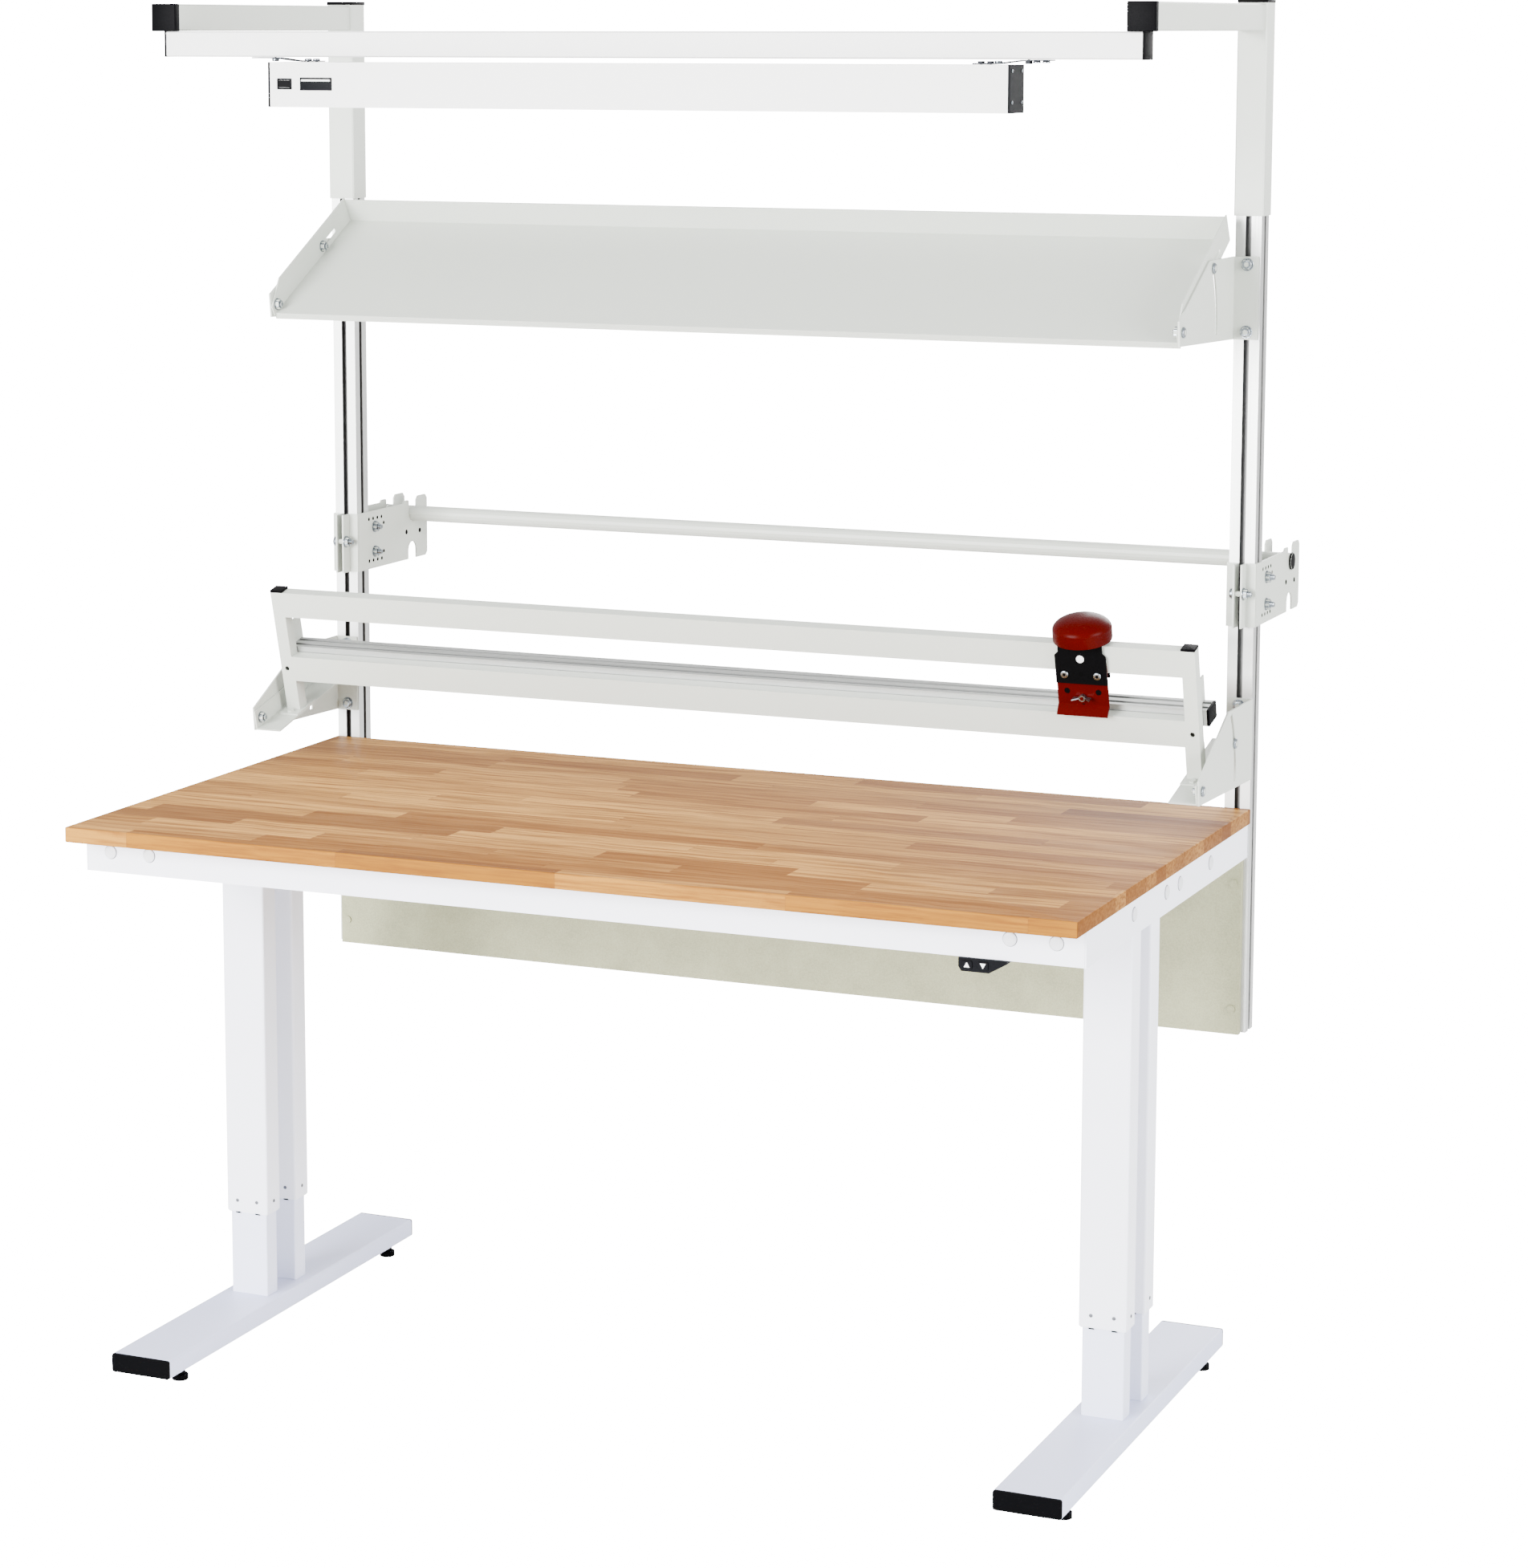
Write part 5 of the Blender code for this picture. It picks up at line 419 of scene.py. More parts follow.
WHITE_COAT = coated("white powder coat", (0.82, 0.835, 0.92))
# The feet and the inner columns wear the same white coat as the frame; these two darker copies are painted
# shade, on the feet's upward faces and on the inner tubes below the outer ones.
SHADED_FOOT_COAT = coated("white powder coat with painted shade on the feet", (0.56, 0.60, 0.80))
SHADED_INNER_COAT = coated("white powder coat with painted shade on the inner columns", (0.68, 0.71, 0.86))
GREY_COAT = coated("light grey powder coat", (0.47, 0.495, 0.45))
LAMP_COAT = coated("off-white lamp coat", (0.66, 0.66, 0.65), roughness=0.38)
BLACK_MOULDED = coated("black moulded plastic", (0.0010, 0.0010, 0.0014), 0.2, 0.42, 1500.0, specular=0.02)
DARK_MOULDED = coated("dark grey moulded plastic", (0.0026, 0.0028, 0.0038), 0.2, 0.45, 1500.0, specular=0.03)
RED_GLOSS = coated("red gloss paint", (0.048, 0.0004, 0.0001), 0.3, 0.30, 500.0, 0.00002, specular=0.03)
BLACK_COAT = coated("black powder coat", (0.0012, 0.0012, 0.0014), 0.2, 0.5, 1100.0, specular=0.02)
WHITE_PRINT = coated("white print", (0.85, 0.85, 0.86), 0.03, 0.5, 2000.0, 0.00002)
PLUG_WHITE = coated("white plug plastic", (0.62, 0.63, 0.67), 0.03, 0.35, 2000.0, 0.00002)
# Painted shade for the gaps round the plugs.
PAINTED_GAP_SHADE = coated("painted shade in the plug gaps", (0.09, 0.09, 0.10), 0.1, 0.8, 600.0, specular=0.1)
# Painted shade: a near-black colour for discs that stand in for the shade inside holes.
HOLE_SHADE = coated("shaded hole", (0.0015, 0.0015, 0.0015), 0.3, 0.8, 600.0, specular=0.01)
DIFFUSER = coated("opal diffuser", (0.86, 0.87, 0.87), 0.02, 0.3, 700.0, 0.00002)
print("materials so far:", len(bpy.data.materials))

# %% [markdown]
# Posts and rail are anodised aluminium with drawn lines along their length, bolts are bright zinc,
# and the lamp's strips are dark steel. All are metal under the lines group, squeezed another way.
# The narrow slots of the posts come out too light in the render, so a mask paints shade into them.

# %% Bare metals
# Painted shade: SLOT_SHADE is the dark colour laid into the posts' slots, deepest inside, where they lie in
# shade.
SLOT_SHADE = (0.14, 0.14, 0.142)
SHADE_START, SHADE_END, MOST_SHADE = 0.0006, 0.0028, 0.97
LINE_HEIGHT = 0.00003


def drawn_metal(name, colour, rates, roughness, contrast=0.16, shade=None):
    """Metal with drawn lines that vary both its tone and its gloss. Where shade is given, it is
    called on the tree and returns the share of painted shade, a dark colour laid where the slots lie in
    shade."""
    material, tree, shader = new_finish(name, 1.0, roughness)
    lines = place_group(tree, DRAWN, **rates)["Lines"]
    darker = tuple(channel * (1 - contrast) for channel in colour)
    tone = blend_colours(tree, lines, darker, colour)
    if shade:
        tone = blend_colours(tree, shade(tree), tone, SLOT_SHADE)
    tree.links.new(tone, shader.inputs["Base Color"])
    gloss = spread(tree, lines, SKIN_LOW, SKIN_HIGH, roughness - 0.08, roughness + 0.08)
    tree.links.new(gloss, shader.inputs["Roughness"])
    raise_skin(tree, shader, lines, LINE_HEIGHT)
    return material


def painted_slot_shade(tree):
    """How deep a point lies in its post's slots: the smaller of half the width less the distance
    from the post's middle in X, and the same in Y. Both posts share one sum, because X is taken
    without its sign. The share of painted shade rises from the lips inwards."""
    low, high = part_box("post_right")
    _, (x, y, _) = object_place(tree)
    across = calculate(tree, "ABSOLUTE", x)
    depths = []
    for value, start, end in ((across, low[0], high[0]), (y, low[1], high[1])):
        off = calculate(tree, "ABSOLUTE", calculate(tree, "SUBTRACT", value, (start + end) / 2))
        depths.append(calculate(tree, "SUBTRACT", (end - start) / 2, off))
    return spread(tree, calculate(tree, "MINIMUM", *depths), SHADE_START, SHADE_END, 0.0, MOST_SHADE)


UPRIGHT_LINES = {"Along_X": 900.0, "Along_Y": 900.0, "Along_Z": 2.0}
LEVEL_LINES = {"Along_X": 2.0, "Along_Y": 900.0, "Along_Z": 900.0}
ALL_LINES = {"Along_X": 500.0, "Along_Y": 500.0, "Along_Z": 500.0}
POST_ALUMINIUM = drawn_metal("anodised posts", (0.62, 0.63, 0.62), UPRIGHT_LINES, 0.45, shade=painted_slot_shade)
RAIL_ALUMINIUM = drawn_metal("anodised rail", (0.50, 0.51, 0.50), LEVEL_LINES, 0.45)
ZINC = drawn_metal("bright zinc", (0.30, 0.335, 0.37), ALL_LINES, 0.28, 0.5)
SPRING_STEEL = drawn_metal("dark spring strip", (0.014, 0.015, 0.017), LEVEL_LINES, 0.45)
DRIVE_STEEL = drawn_metal("drive steel", (0.13, 0.135, 0.15), UPRIGHT_LINES, 0.45)
print("materials so far:", len(bpy.data.materials))

# %% [markdown]
# Beech is pale tan with a pink cast, and a few staves hold brown heartwood. The staves group gives
# the masks, and each step lays one colour over the last. The front edge looks more golden in the
# photograph, so a mask on Y warms it. The end grain at the right end soaks up more and is darker.

# %% Beech board
EDGE_ROUNDING = 0.0018
DARK_STAVE, PALE_STAVE = (0.235, 0.094, 0.016), (0.56, 0.285, 0.070)
HEARTWOOD, RIGHT_TONE = (0.10, 0.028, 0.006), (0.165, 0.060, 0.018)
FLECK_TONE, FRONT_TONE = (0.10, 0.035, 0.012), (0.235, 0.096, 0.0020)
GRAIN_TONE, END_TONE, GLUE_TONE = (0.135, 0.046, 0.008), (0.075, 0.024, 0.004), (0.11, 0.04, 0.015)
top_low, top_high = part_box("work_top")


def build_beech():
    """Tone by stave, browner where Heart is high and a little towards the right end, warmer on
    the front edge, and darker by flecks, grain, end grain and glue lines, in this order."""
    material, tree, shader = new_finish("lacquered beech", 0.0, 0.5, 0.04)
    parts = place_group(tree, STAVES)
    _, (x, y, _) = object_place(tree)
    base = blend_colours(tree, parts["Tone"], DARK_STAVE, PALE_STAVE)
    front = calculate(tree, "LESS_THAN", y, top_low[1] + EDGE_ROUNDING * 0.5)
    layers = [(spread(tree, parts["Heart"], 0.80, 1.0, 0.0, 0.75), HEARTWOOD),
              (spread(tree, x, -0.4, 0.75, 0.0, 0.22), RIGHT_TONE),
              (calculate(tree, "MULTIPLY", parts["Fleck"], 0.35), FLECK_TONE),
              (calculate(tree, "MULTIPLY", front, 0.6), FRONT_TONE),
              (spread(tree, parts["Grain"], 0.42, 0.62, 0.0, 0.7), GRAIN_TONE),
              (spread(tree, x, top_high[0] - 0.0008, top_high[0] - 0.0003, 0.0, 0.55), END_TONE),
              (calculate(tree, "MULTIPLY", parts["Joint"], 0.28), GLUE_TONE)]
    for share, colour in layers:
        base = blend_colours(tree, share, base, colour)
    tree.links.new(base, shader.inputs["Base Color"])
    gloss = spread(tree, parts["Grain"], SKIN_LOW, SKIN_HIGH, 0.50, 0.60)
    tree.links.new(gloss, shader.inputs["Roughness"])
    raise_skin(tree, shader, parts["Grain"], 0.0001, 0.5)
    return material


BEECH = build_beech()
print("beech layers over a board of", [round(v, 3) for v in (top_high - top_low)])

# %% [markdown]
# The privacy panel is a board with an olive-grey laminate. Its print is a fine, cloudy speckle.

# %% Laminate
DEEP_OLIVE, PALE_OLIVE = (0.205, 0.208, 0.120), (0.295, 0.300, 0.178)


def build_laminate():
    """Two greys mixed by half a coarse cloud plus half a fine speckle."""
    material, tree, shader = new_finish("olive-grey laminate", 0.0, 0.5, 0.4)
    place, _ = object_place(tree)
    mottle = cloud(tree, place, 14.0, 4.0, 0.6)
    speckle = cloud(tree, place, 420.0, 2.0, 0.7)
    halves = [calculate(tree, "MULTIPLY", noise, 0.5) for noise in (mottle, speckle)]
    share = spread(tree, calculate(tree, "ADD", *halves), 0.35, 0.65)
    tree.links.new(blend_colours(tree, share, DEEP_OLIVE, PALE_OLIVE), shader.inputs["Base Color"])
    raise_skin(tree, shader, speckle, 0.00004)
    return material


LAMINATE = build_laminate()
print("all materials:", len(bpy.data.materials))

# %% [markdown]
# The carried-over nodes take their finish from the record's slots, so a node that is added later
# gets the right one by itself. A few nodes differ from their slot and are named after it; the feet and
# the inner columns take darker copies of the white coat as painted shade.

# %% Give every node its finish
FINISH_OF_SLOT = {
    "white_frame_paint": WHITE_COAT, "light_grey_paint": GREY_COAT, "lamp_body_paint": LAMP_COAT,
    "beech_board": BEECH, "panel_board": LAMINATE, "anodised_aluminium": POST_ALUMINIUM,
    "black_plastic": BLACK_MOULDED, "dark_grey_plastic": DARK_MOULDED, "drive_steel": DRIVE_STEEL,
    "spring_steel": SPRING_STEEL, "opal_diffuser": DIFFUSER, "red_plastic": RED_GLOSS, "zinc_plate": ZINC,
}
# The feet and the inner columns get the darker coats, which are painted shade.
FINISH_OF_NODE = {"slot_rail": RAIL_ALUMINIUM, "cross_bar": LAMP_COAT, "head_carriage": BLACK_COAT,
                  "foot_left": SHADED_FOOT_COAT, "foot_right": SHADED_FOOT_COAT}
for side in SIDES:
    for end in ("front", "rear"):
        FINISH_OF_NODE[f"inner_column_{side}_{end}"] = SHADED_INNER_COAT
slot_of_node = {part["node"]: part["material_slot"] for part in frame["record"]["subparts"]}
for name, node in frame["nodes"].items():
    finish = FINISH_OF_NODE.get(name, FINISH_OF_SLOT[slot_of_node[name]])
    node.data.materials.clear()
    node.data.materials.append(finish)
print("dressed", len(frame["nodes"]), "nodes")

# %% [markdown]
# ## The beech top
# The real board is sanded, and its edges are broken by a fine round. The CAD top has sharp edges,
# so a rounded block of the same size takes its place. Its rounding catches a thin bright line of
# light along the front edge.

# %% Make the beech top
top_skin = rounded_block(top_low, top_high, EDGE_ROUNDING)
beech_top = make_piece("beech_top", [top_skin], BEECH, "lift")
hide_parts("work_top")
print("beech top:", len(top_skin[1]), "faces")

# %% [markdown]
# ## Black caps
# A moulded cap closes each cut tube end: on the arms and their sleeves, the cross bar, the cutter's
# uprights, its slotted rail and the roll rod. In the CAD model these caps are one with their tubes.
# Here each gets a thin moulded skin that stands a fraction of a millimetre proud, with soft edges.

# %% Measure the tubes and cover their ends
PROUD, BIG_PROUD = 0.00025, 0.0006
CAP_EDGE, BIG_EDGE = 0.0006, 0.0014
ARM_HALF, ARM_CAP, ARM_DROP = 0.019, 0.012, 0.0065
SLEEVE_WIDTH, SLEEVE_CAP, CROWN_PROUD = 0.043, 0.005, 0.0003
BAR_CAP, BAR_HEIGHT = 0.003, 0.0365
POST_CENTRE = sum(corner[0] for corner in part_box("post_right")) / 2


def cap(low, high, edge=CAP_EDGE, proud=PROUD):
    """A rounded block a little proud of the CAD cap between two corners. The edge is at most 2.4
    times proud, so a sharp corner of the solid below reaches the rounding, but passes it by less
    than a hundredth of a millimetre."""
    low, high = np.minimum(low, high), np.maximum(low, high)
    return rounded_block(low - proud, high + proud, edge)


upper_caps = []
for side, sign in SIDES.items():
    arm_low, arm_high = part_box(f"gantry_arm_{side}")
    x = sign * POST_CENTRE
    arm_top = arm_high[2] - ARM_DROP
    upper_caps.append(cap((x - ARM_HALF, arm_low[1], arm_top - 2 * ARM_HALF),
                          (x + ARM_HALF, arm_low[1] + ARM_CAP, arm_top), BIG_EDGE, BIG_PROUD))
    crown_low = (arm_low[0], arm_high[1] - SLEEVE_WIDTH, arm_high[2] - SLEEVE_CAP)
    around = (CROWN_PROUD, CROWN_PROUD, 0.0)
    upper_caps.append(rounded_block(np.subtract(crown_low, around), np.add(arm_high, around), CAP_EDGE))
    bar_low, bar_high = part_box("cross_bar")
    bar_end = sign * bar_high[0]
    upper_caps.append(cap((bar_end, bar_low[1], bar_low[2]),
                          (bar_end - sign * BAR_CAP, bar_high[1], bar_low[2] + BAR_HEIGHT)))
make_piece("tube_caps", upper_caps, BLACK_MOULDED, "lift")
print("caps on the upper frame:", len(upper_caps))

# %% [markdown]
# The cutter's frame leans forward, turned about the pivot bolts at its foot. Its pieces are worked
# out upright first and then turned by the same angle, so a cap stays square to its tube.

# %% Lean a skin with the cutter's frame
LEAN = math.radians(14.5)
CUTTER_PIVOT = np.array([0.0, 0.030, 0.9014])


def leaning(skin):
    """Turn a skin about the X axis by the frame's lean: y' = y cos - z sin, z' = y sin + z cos,
    then move it so that the origin lies on the pivot."""
    points, faces = skin
    x, y, z = points.T
    cosine, sine = math.cos(LEAN), math.sin(LEAN)
    return np.stack([x, y * cosine - z * sine, y * sine + z * cosine], -1) + CUTTER_PIVOT, faces


UPRIGHT_OUTER, UPRIGHT_WIDTH = 0.732, 0.020
UPRIGHT_FRONT, UPRIGHT_TOP = 0.060, 0.183
UPRIGHT_CAP = 0.0033
RAIL_END, RAIL_CAP = 0.741, 0.0035
RAIL_DEPTHS, RAIL_HEIGHTS = (0.0815, 0.1175), (0.062, 0.086)
cutter_caps = []
for sign in SIDES.values():
    low = (sign * UPRIGHT_OUTER, UPRIGHT_FRONT, UPRIGHT_TOP)
    high = (sign * (UPRIGHT_OUTER - UPRIGHT_WIDTH), UPRIGHT_FRONT + UPRIGHT_WIDTH, UPRIGHT_TOP + UPRIGHT_CAP)
    cutter_caps.append(leaning(cap(low, high)))
    cutter_caps.append(leaning(cap((sign * RAIL_END, RAIL_DEPTHS[0], RAIL_HEIGHTS[0]),
                                   (sign * (RAIL_END - RAIL_CAP), RAIL_DEPTHS[1], RAIL_HEIGHTS[1]))))
make_piece("cutter_caps", cutter_caps, BLACK_MOULDED, "cutter")

rod_low, rod_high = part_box("roll_rod")
rod_centre = (rod_low + rod_high) / 2
rod_radius = (rod_high[1] - rod_low[1]) / 2
INNER_RADIUS, ROD_CAP = 0.0020, 0.0030
ROD_CAP_PROFILE = [(INNER_RADIUS, -ROD_CAP), (rod_radius + 0.0002, -ROD_CAP), (rod_radius + 0.0003, -0.0008),
                   (rod_radius - 0.0004, 0.0), (rod_radius - 0.0014, 0.0002), (INNER_RADIUS, 0.0002)]
rod_caps = [spun(ROD_CAP_PROFILE, 48, OUTWARD[sign], (sign * rod_high[0], rod_centre[1], rod_centre[2]))
            for sign in SIDES.values()]
make_piece("rod_caps", rod_caps, BLACK_MOULDED, "roll_rod")
print("caps on the cutter and the rod:", len(cutter_caps), len(rod_caps))

# %% [markdown]
# ## Bolts
# The bright bolts are small but they tell what is clamped to what. A head is a turned profile with
# a socket sunk into it, a nut is a six-sided stack, and most sit on a washer. The socket is left
# round, because it is a few pixels wide. They lie over the plainer heads of the CAD model.

# %% Profiles of heads, nuts and washers
WASHER_BORE, WASHER_BEVEL, WASHER_HEIGHT, PLAIN_WASHER = 0.0005, 0.0003, 0.0012, 0.0011
NUT_START, NUT_BEVEL = 0.0006, 0.0008
THREAD_PITCH, THREAD_CREST, THREAD_DEPTH, THREAD_SUNK, THREAD_EXTRA = 0.0011, 0.00015, 0.00045, 0.0005, 0.0007


def bolt_head(centre, axis, radius, height, washer=0.0, socket=0.45):
    """A washer, where its radius is given, and a head with a rounded rim and a sunk round socket,
    standing on a face at centre. The socket's radius is a share of the head's."""
    skins = []
    if washer:
        flat = washer - WASHER_BEVEL
        skins.append(spun([(WASHER_BORE, 0.0), (flat, 0.0), (washer, WASHER_BEVEL),
                           (washer, WASHER_HEIGHT - WASHER_BEVEL), (flat, WASHER_HEIGHT),
                           (WASHER_BORE, WASHER_HEIGHT)], 32, axis, centre))
    rim = 0.18 * height
    profile = [(radius * 0.96, 0.0), (radius, 0.25 * height), (radius * 0.98, 0.7 * height),
               (radius * 0.90, 0.9 * height), (radius * 0.74, height), (radius * socket, height),
               (radius * socket * 0.96, height - 2 * rim), (radius * 0.02, height - 2.4 * rim)]
    skins.append(spun(profile, 36, axis, centre))
    return skins


def nut_and_tail(centre, axis, radius, height, bolt_radius, tail, washer):
    """A washer, a hexagon nut with bevelled corners and the threaded end of the bolt: at each turn
    of the thread its rings swell and shrink by the depth of the thread."""
    ring = [(WASHER_BORE, 0.0), (washer, 0.0), (washer, PLAIN_WASHER), (WASHER_BORE, PLAIN_WASHER)]
    nut = [(radius, NUT_START), (radius, height - NUT_BEVEL), (radius * 0.90, height), (bolt_radius, height)]
    skins = [spun(ring, 32, axis, centre), spun(nut, 6, axis, centre, start=math.pi / 6)]
    turns = max(2, round(tail / THREAD_PITCH))
    z = height - THREAD_SUNK + np.linspace(0, tail + THREAD_EXTRA, 2 * turns + 1)
    r = bolt_radius + THREAD_CREST - THREAD_DEPTH * (np.arange(2 * turns + 1) % 2)
    r[-1] = bolt_radius * 0.8
    skins.append(spun(np.stack([r, z], -1), 20, axis, centre))
    return skins


sample = bolt_head((0, 0, 0), "+z", 0.008, 0.005, 0.009)
print("a bolt head on a washer has", sum(len(faces) for _, faces in sample), "faces")

# %% [markdown]
# Two bolts hold each bracket of the shelf and the cutter to its post. The roll holders are clamped
# by three bolts each, from the left, with a nut on the right. The tilting parts turn on a pivot bolt
# and are locked by a second one on each side.

# %% Bolts in the posts, on the roll holders and at the pivots
HEAD_RADIUS, HEAD_HEIGHT, WASHER_RADIUS = 0.0078, 0.0056, 0.0092
CLAMP_HEAD_HEIGHT, NUT_HEIGHT, BOLT_RADIUS = HEAD_HEIGHT - 0.0002, 0.0067, 0.0042
BRACKET_FACE, BRACKET_BOLT_RISES = 0.2795, (0.011, 0.107)
fixed_bolts = []
for side, sign in SIDES.items():
    for kind in ("shelf", "cutter"):
        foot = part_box(f"{kind}_bracket_{side}")[0][2]
        for rise in BRACKET_BOLT_RISES:
            place = (sign * POST_CENTRE, BRACKET_FACE, foot + rise)
            fixed_bolts += bolt_head(place, "-y", HEAD_RADIUS, HEAD_HEIGHT, WASHER_RADIUS)

CLAMP_PLACE, CLAMP_HALF = (0.267, 1.1459), 0.007
THROUGH_PLACES, THROUGH_HALF = ((0.3363, 1.1232), (0.3363, 1.1629)), 0.0218
TAIL = 0.0058
for sign in SIDES.values():
    middle = sign * POST_CENTRE
    for (y, z), half in [(CLAMP_PLACE, CLAMP_HALF)] + [(place, THROUGH_HALF) for place in THROUGH_PLACES]:
        fixed_bolts += bolt_head((middle - half, y, z), "-x", HEAD_RADIUS, CLAMP_HEAD_HEIGHT, WASHER_RADIUS)
        fixed_bolts += nut_and_tail((middle + half, y, z), "+x", HEAD_RADIUS, NUT_HEIGHT, BOLT_RADIUS,
                                    TAIL, WASHER_RADIUS)
make_piece("fixed_bolts", fixed_bolts, ZINC, "lift")


LOW_HEAD, LOW_HEAD_GAP, SMALL_WASHER, SHORT_TAIL = (0.0077, 0.0034), 0.0003, 0.0088, 0.0022


def side_bolts(y, z, plate_face, inner_face):
    """A pair of bolts mirrored left and right: a low round head outside, a nut inside."""
    skins = []
    for sign in SIDES.values():
        skins += bolt_head((sign * (plate_face + LOW_HEAD_GAP), y, z), OUTWARD[sign], *LOW_HEAD)
        skins += nut_and_tail((sign * inner_face, y, z), OUTWARD[-sign], HEAD_RADIUS, NUT_HEIGHT,
                              BOLT_RADIUS, SHORT_TAIL, SMALL_WASHER)
    return skins


SHELF_PIVOT, SHELF_LOCK, SHELF_FACES = (0.030, 1.5364), (0.1732, 1.6164), (0.7105, 0.7056)
shelf_bolts = side_bolts(*SHELF_PIVOT, *SHELF_FACES) + side_bolts(*SHELF_LOCK, *SHELF_FACES)
make_piece("shelf_bolts", shelf_bolts, ZINC, "shelf")
CUTTER_LOCK, CUTTER_FACES = (0.1888, 0.9425), (0.750, 0.7446)
cutter_bolts = side_bolts(*CUTTER_PIVOT[1:], *CUTTER_FACES) + side_bolts(*CUTTER_LOCK, *CUTTER_FACES)
make_piece("cutter_bolts", cutter_bolts, ZINC, "cutter")
print("bolts:", len(fixed_bolts), len(shelf_bolts), len(cutter_bolts), "skins")

# %% [markdown]
# ## The index holes of the roll holders
# The plates are punched with rows of small holes, so that the holder can be set in other places,
# and two larger ones near the hooks. A hole in grey sheet reads as a dark disc, so thin discs of painted
# shade stand in for the holes.

# %% Draw the punched holes
SMALL_HOLE, LARGE_HOLE = 0.0028, 0.0040
ROW_START, ROW_STEP, ROW_HEIGHTS = 0.317, 0.014, (1.1764, 1.1094)
OUTER_FACE, INNER_FACE = 0.0218, 0.0193
HOLE_ROW = [(ROW_START + ROW_STEP * i, z) for i in range(4) for z in ROW_HEIGHTS]
HOLE_ROW += [(0.366, 1.1659), (0.366, 1.1204)]
LARGE_HOLES = [(0.444, 1.1414), (0.490, 1.1394)]
DISC_SUNK, DISC_EDGE, DISC_TOP = -0.0004, 0.00008, 0.0001
# Each disc is painted shade where a hole is.
punched = [(place, SMALL_HOLE) for place in HOLE_ROW] + [(place, LARGE_HOLE) for place in LARGE_HOLES]
holes = []
for sign in SIDES.values():
    for toward in (-1, 1):
        for inside in (-1, 1):
            face = sign * POST_CENTRE + toward * (OUTER_FACE if inside < 0 else INNER_FACE)
            for (y, z), radius in punched:
                disc = [(radius, DISC_SUNK), (radius, DISC_EDGE), (radius * 0.2, DISC_TOP)]
                holes.append(spun(disc, 20, OUTWARD[-toward * inside], (face, y, z)))
make_piece("punched_hole_shade", holes, HOLE_SHADE, "lift")
print("punched holes:", len(holes))

# %% [markdown]
# ## The lamp
# The lamp hangs from the bar by two dark spring strips. On its face are a rocker in a dark frame and
# a small dark plate with a light upper edge. Four small screws hold each end cap, and each strip has
# three. All are thin blocks and turned heads that lie on the faces of the solids.

# %% Dress the lamp
lamp_low, lamp_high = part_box("lamp_housing")
PLATE_INSET, PLATE_WIDTH, PLATE_HEIGHT, PLATE_DROP = 0.052 - 0.0033, 0.050, 0.0175, 0.0305
PLATE_SUNK, PLATE_EDGE = 0.0012, 0.0005
STRIP_INSET, STRIP_DROP, STRIP_HEIGHT, STRIP_HALF, STRIP_EDGE = 0.002, 0.0022, 0.0028, 0.0005, 0.0002
plate_left, lamp_face = lamp_low[0] + PLATE_INSET, lamp_low[1]
plate_right = plate_left + PLATE_WIDTH
plate_middle = lamp_high[2] - PLATE_DROP
plate_low, plate_top = plate_middle - PLATE_HEIGHT / 2, plate_middle + PLATE_HEIGHT / 2
plate = rounded_block((plate_left - PROUD, lamp_face - PROUD, plate_low - PROUD),
                      (plate_right + PROUD, lamp_face + PLATE_SUNK, plate_top + PROUD), PLATE_EDGE)
make_piece("lamp_plate", [plate], DARK_MOULDED, "lift")
strip_top = plate_top - STRIP_DROP
strip = rounded_block((plate_left + STRIP_INSET, lamp_face - STRIP_HALF, strip_top - STRIP_HEIGHT),
                      (plate_right - STRIP_INSET, lamp_face + STRIP_HALF, strip_top), STRIP_EDGE)
make_piece("lamp_plate_strip", [strip], LAMP_COAT, "lift")

rocker_low, rocker_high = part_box("lamp_rocker")
FRAME_GAP, FRAME_WIDTH, FRAME_PROUD, FRAME_SUNK = 0.0007, 0.0020, 0.0007, 0.0014
x0, x1 = rocker_low[0] - FRAME_GAP, rocker_high[0] + FRAME_GAP
z0, z1 = rocker_low[2] - FRAME_GAP, rocker_high[2] + FRAME_GAP
y0, y1 = lamp_face - FRAME_PROUD, lamp_face + FRAME_SUNK
frame_bars = [cap((x0 - FRAME_WIDTH, y0, z1), (x1 + FRAME_WIDTH, y1, z1 + FRAME_WIDTH)),
              cap((x0 - FRAME_WIDTH, y0, z0 - FRAME_WIDTH), (x1 + FRAME_WIDTH, y1, z0)),
              cap((x0 - FRAME_WIDTH, y0, z0), (x0, y1, z1)), cap((x1, y0, z0), (x1 + FRAME_WIDTH, y1, z1))]
make_piece("rocker_frame", frame_bars, DARK_MOULDED, "lift")

SCREW_INSET, LOW_SCREW_INSET, SCREW_SUNK = 0.008, 0.014, 0.0002
CAP_SCREW, STRIP_NUT, STRIP_SCREW = (0.0024, 0.0012), (0.0052, 0.0043), (0.0052, 0.0028)
STRIP_LINE, NUT_LEVEL, SCREW_LEVEL = -0.226, 1.9060, 1.9030
NUT_REACH, SCREW_REACHES = 0.033, (0.086, 0.099)
lamp_screws = []
for side, sign in SIDES.items():
    cap_low, cap_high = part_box(f"lamp_cap_{side}")
    end = cap_high[0] if sign > 0 else cap_low[0]
    for y in (cap_low[1] + SCREW_INSET, cap_high[1] - SCREW_INSET):
        for z in (cap_low[2] + LOW_SCREW_INSET, cap_high[2] - SCREW_INSET):
            place = (end - sign * SCREW_SUNK, y, z)
            lamp_screws += bolt_head(place, OUTWARD[sign], *CAP_SCREW)
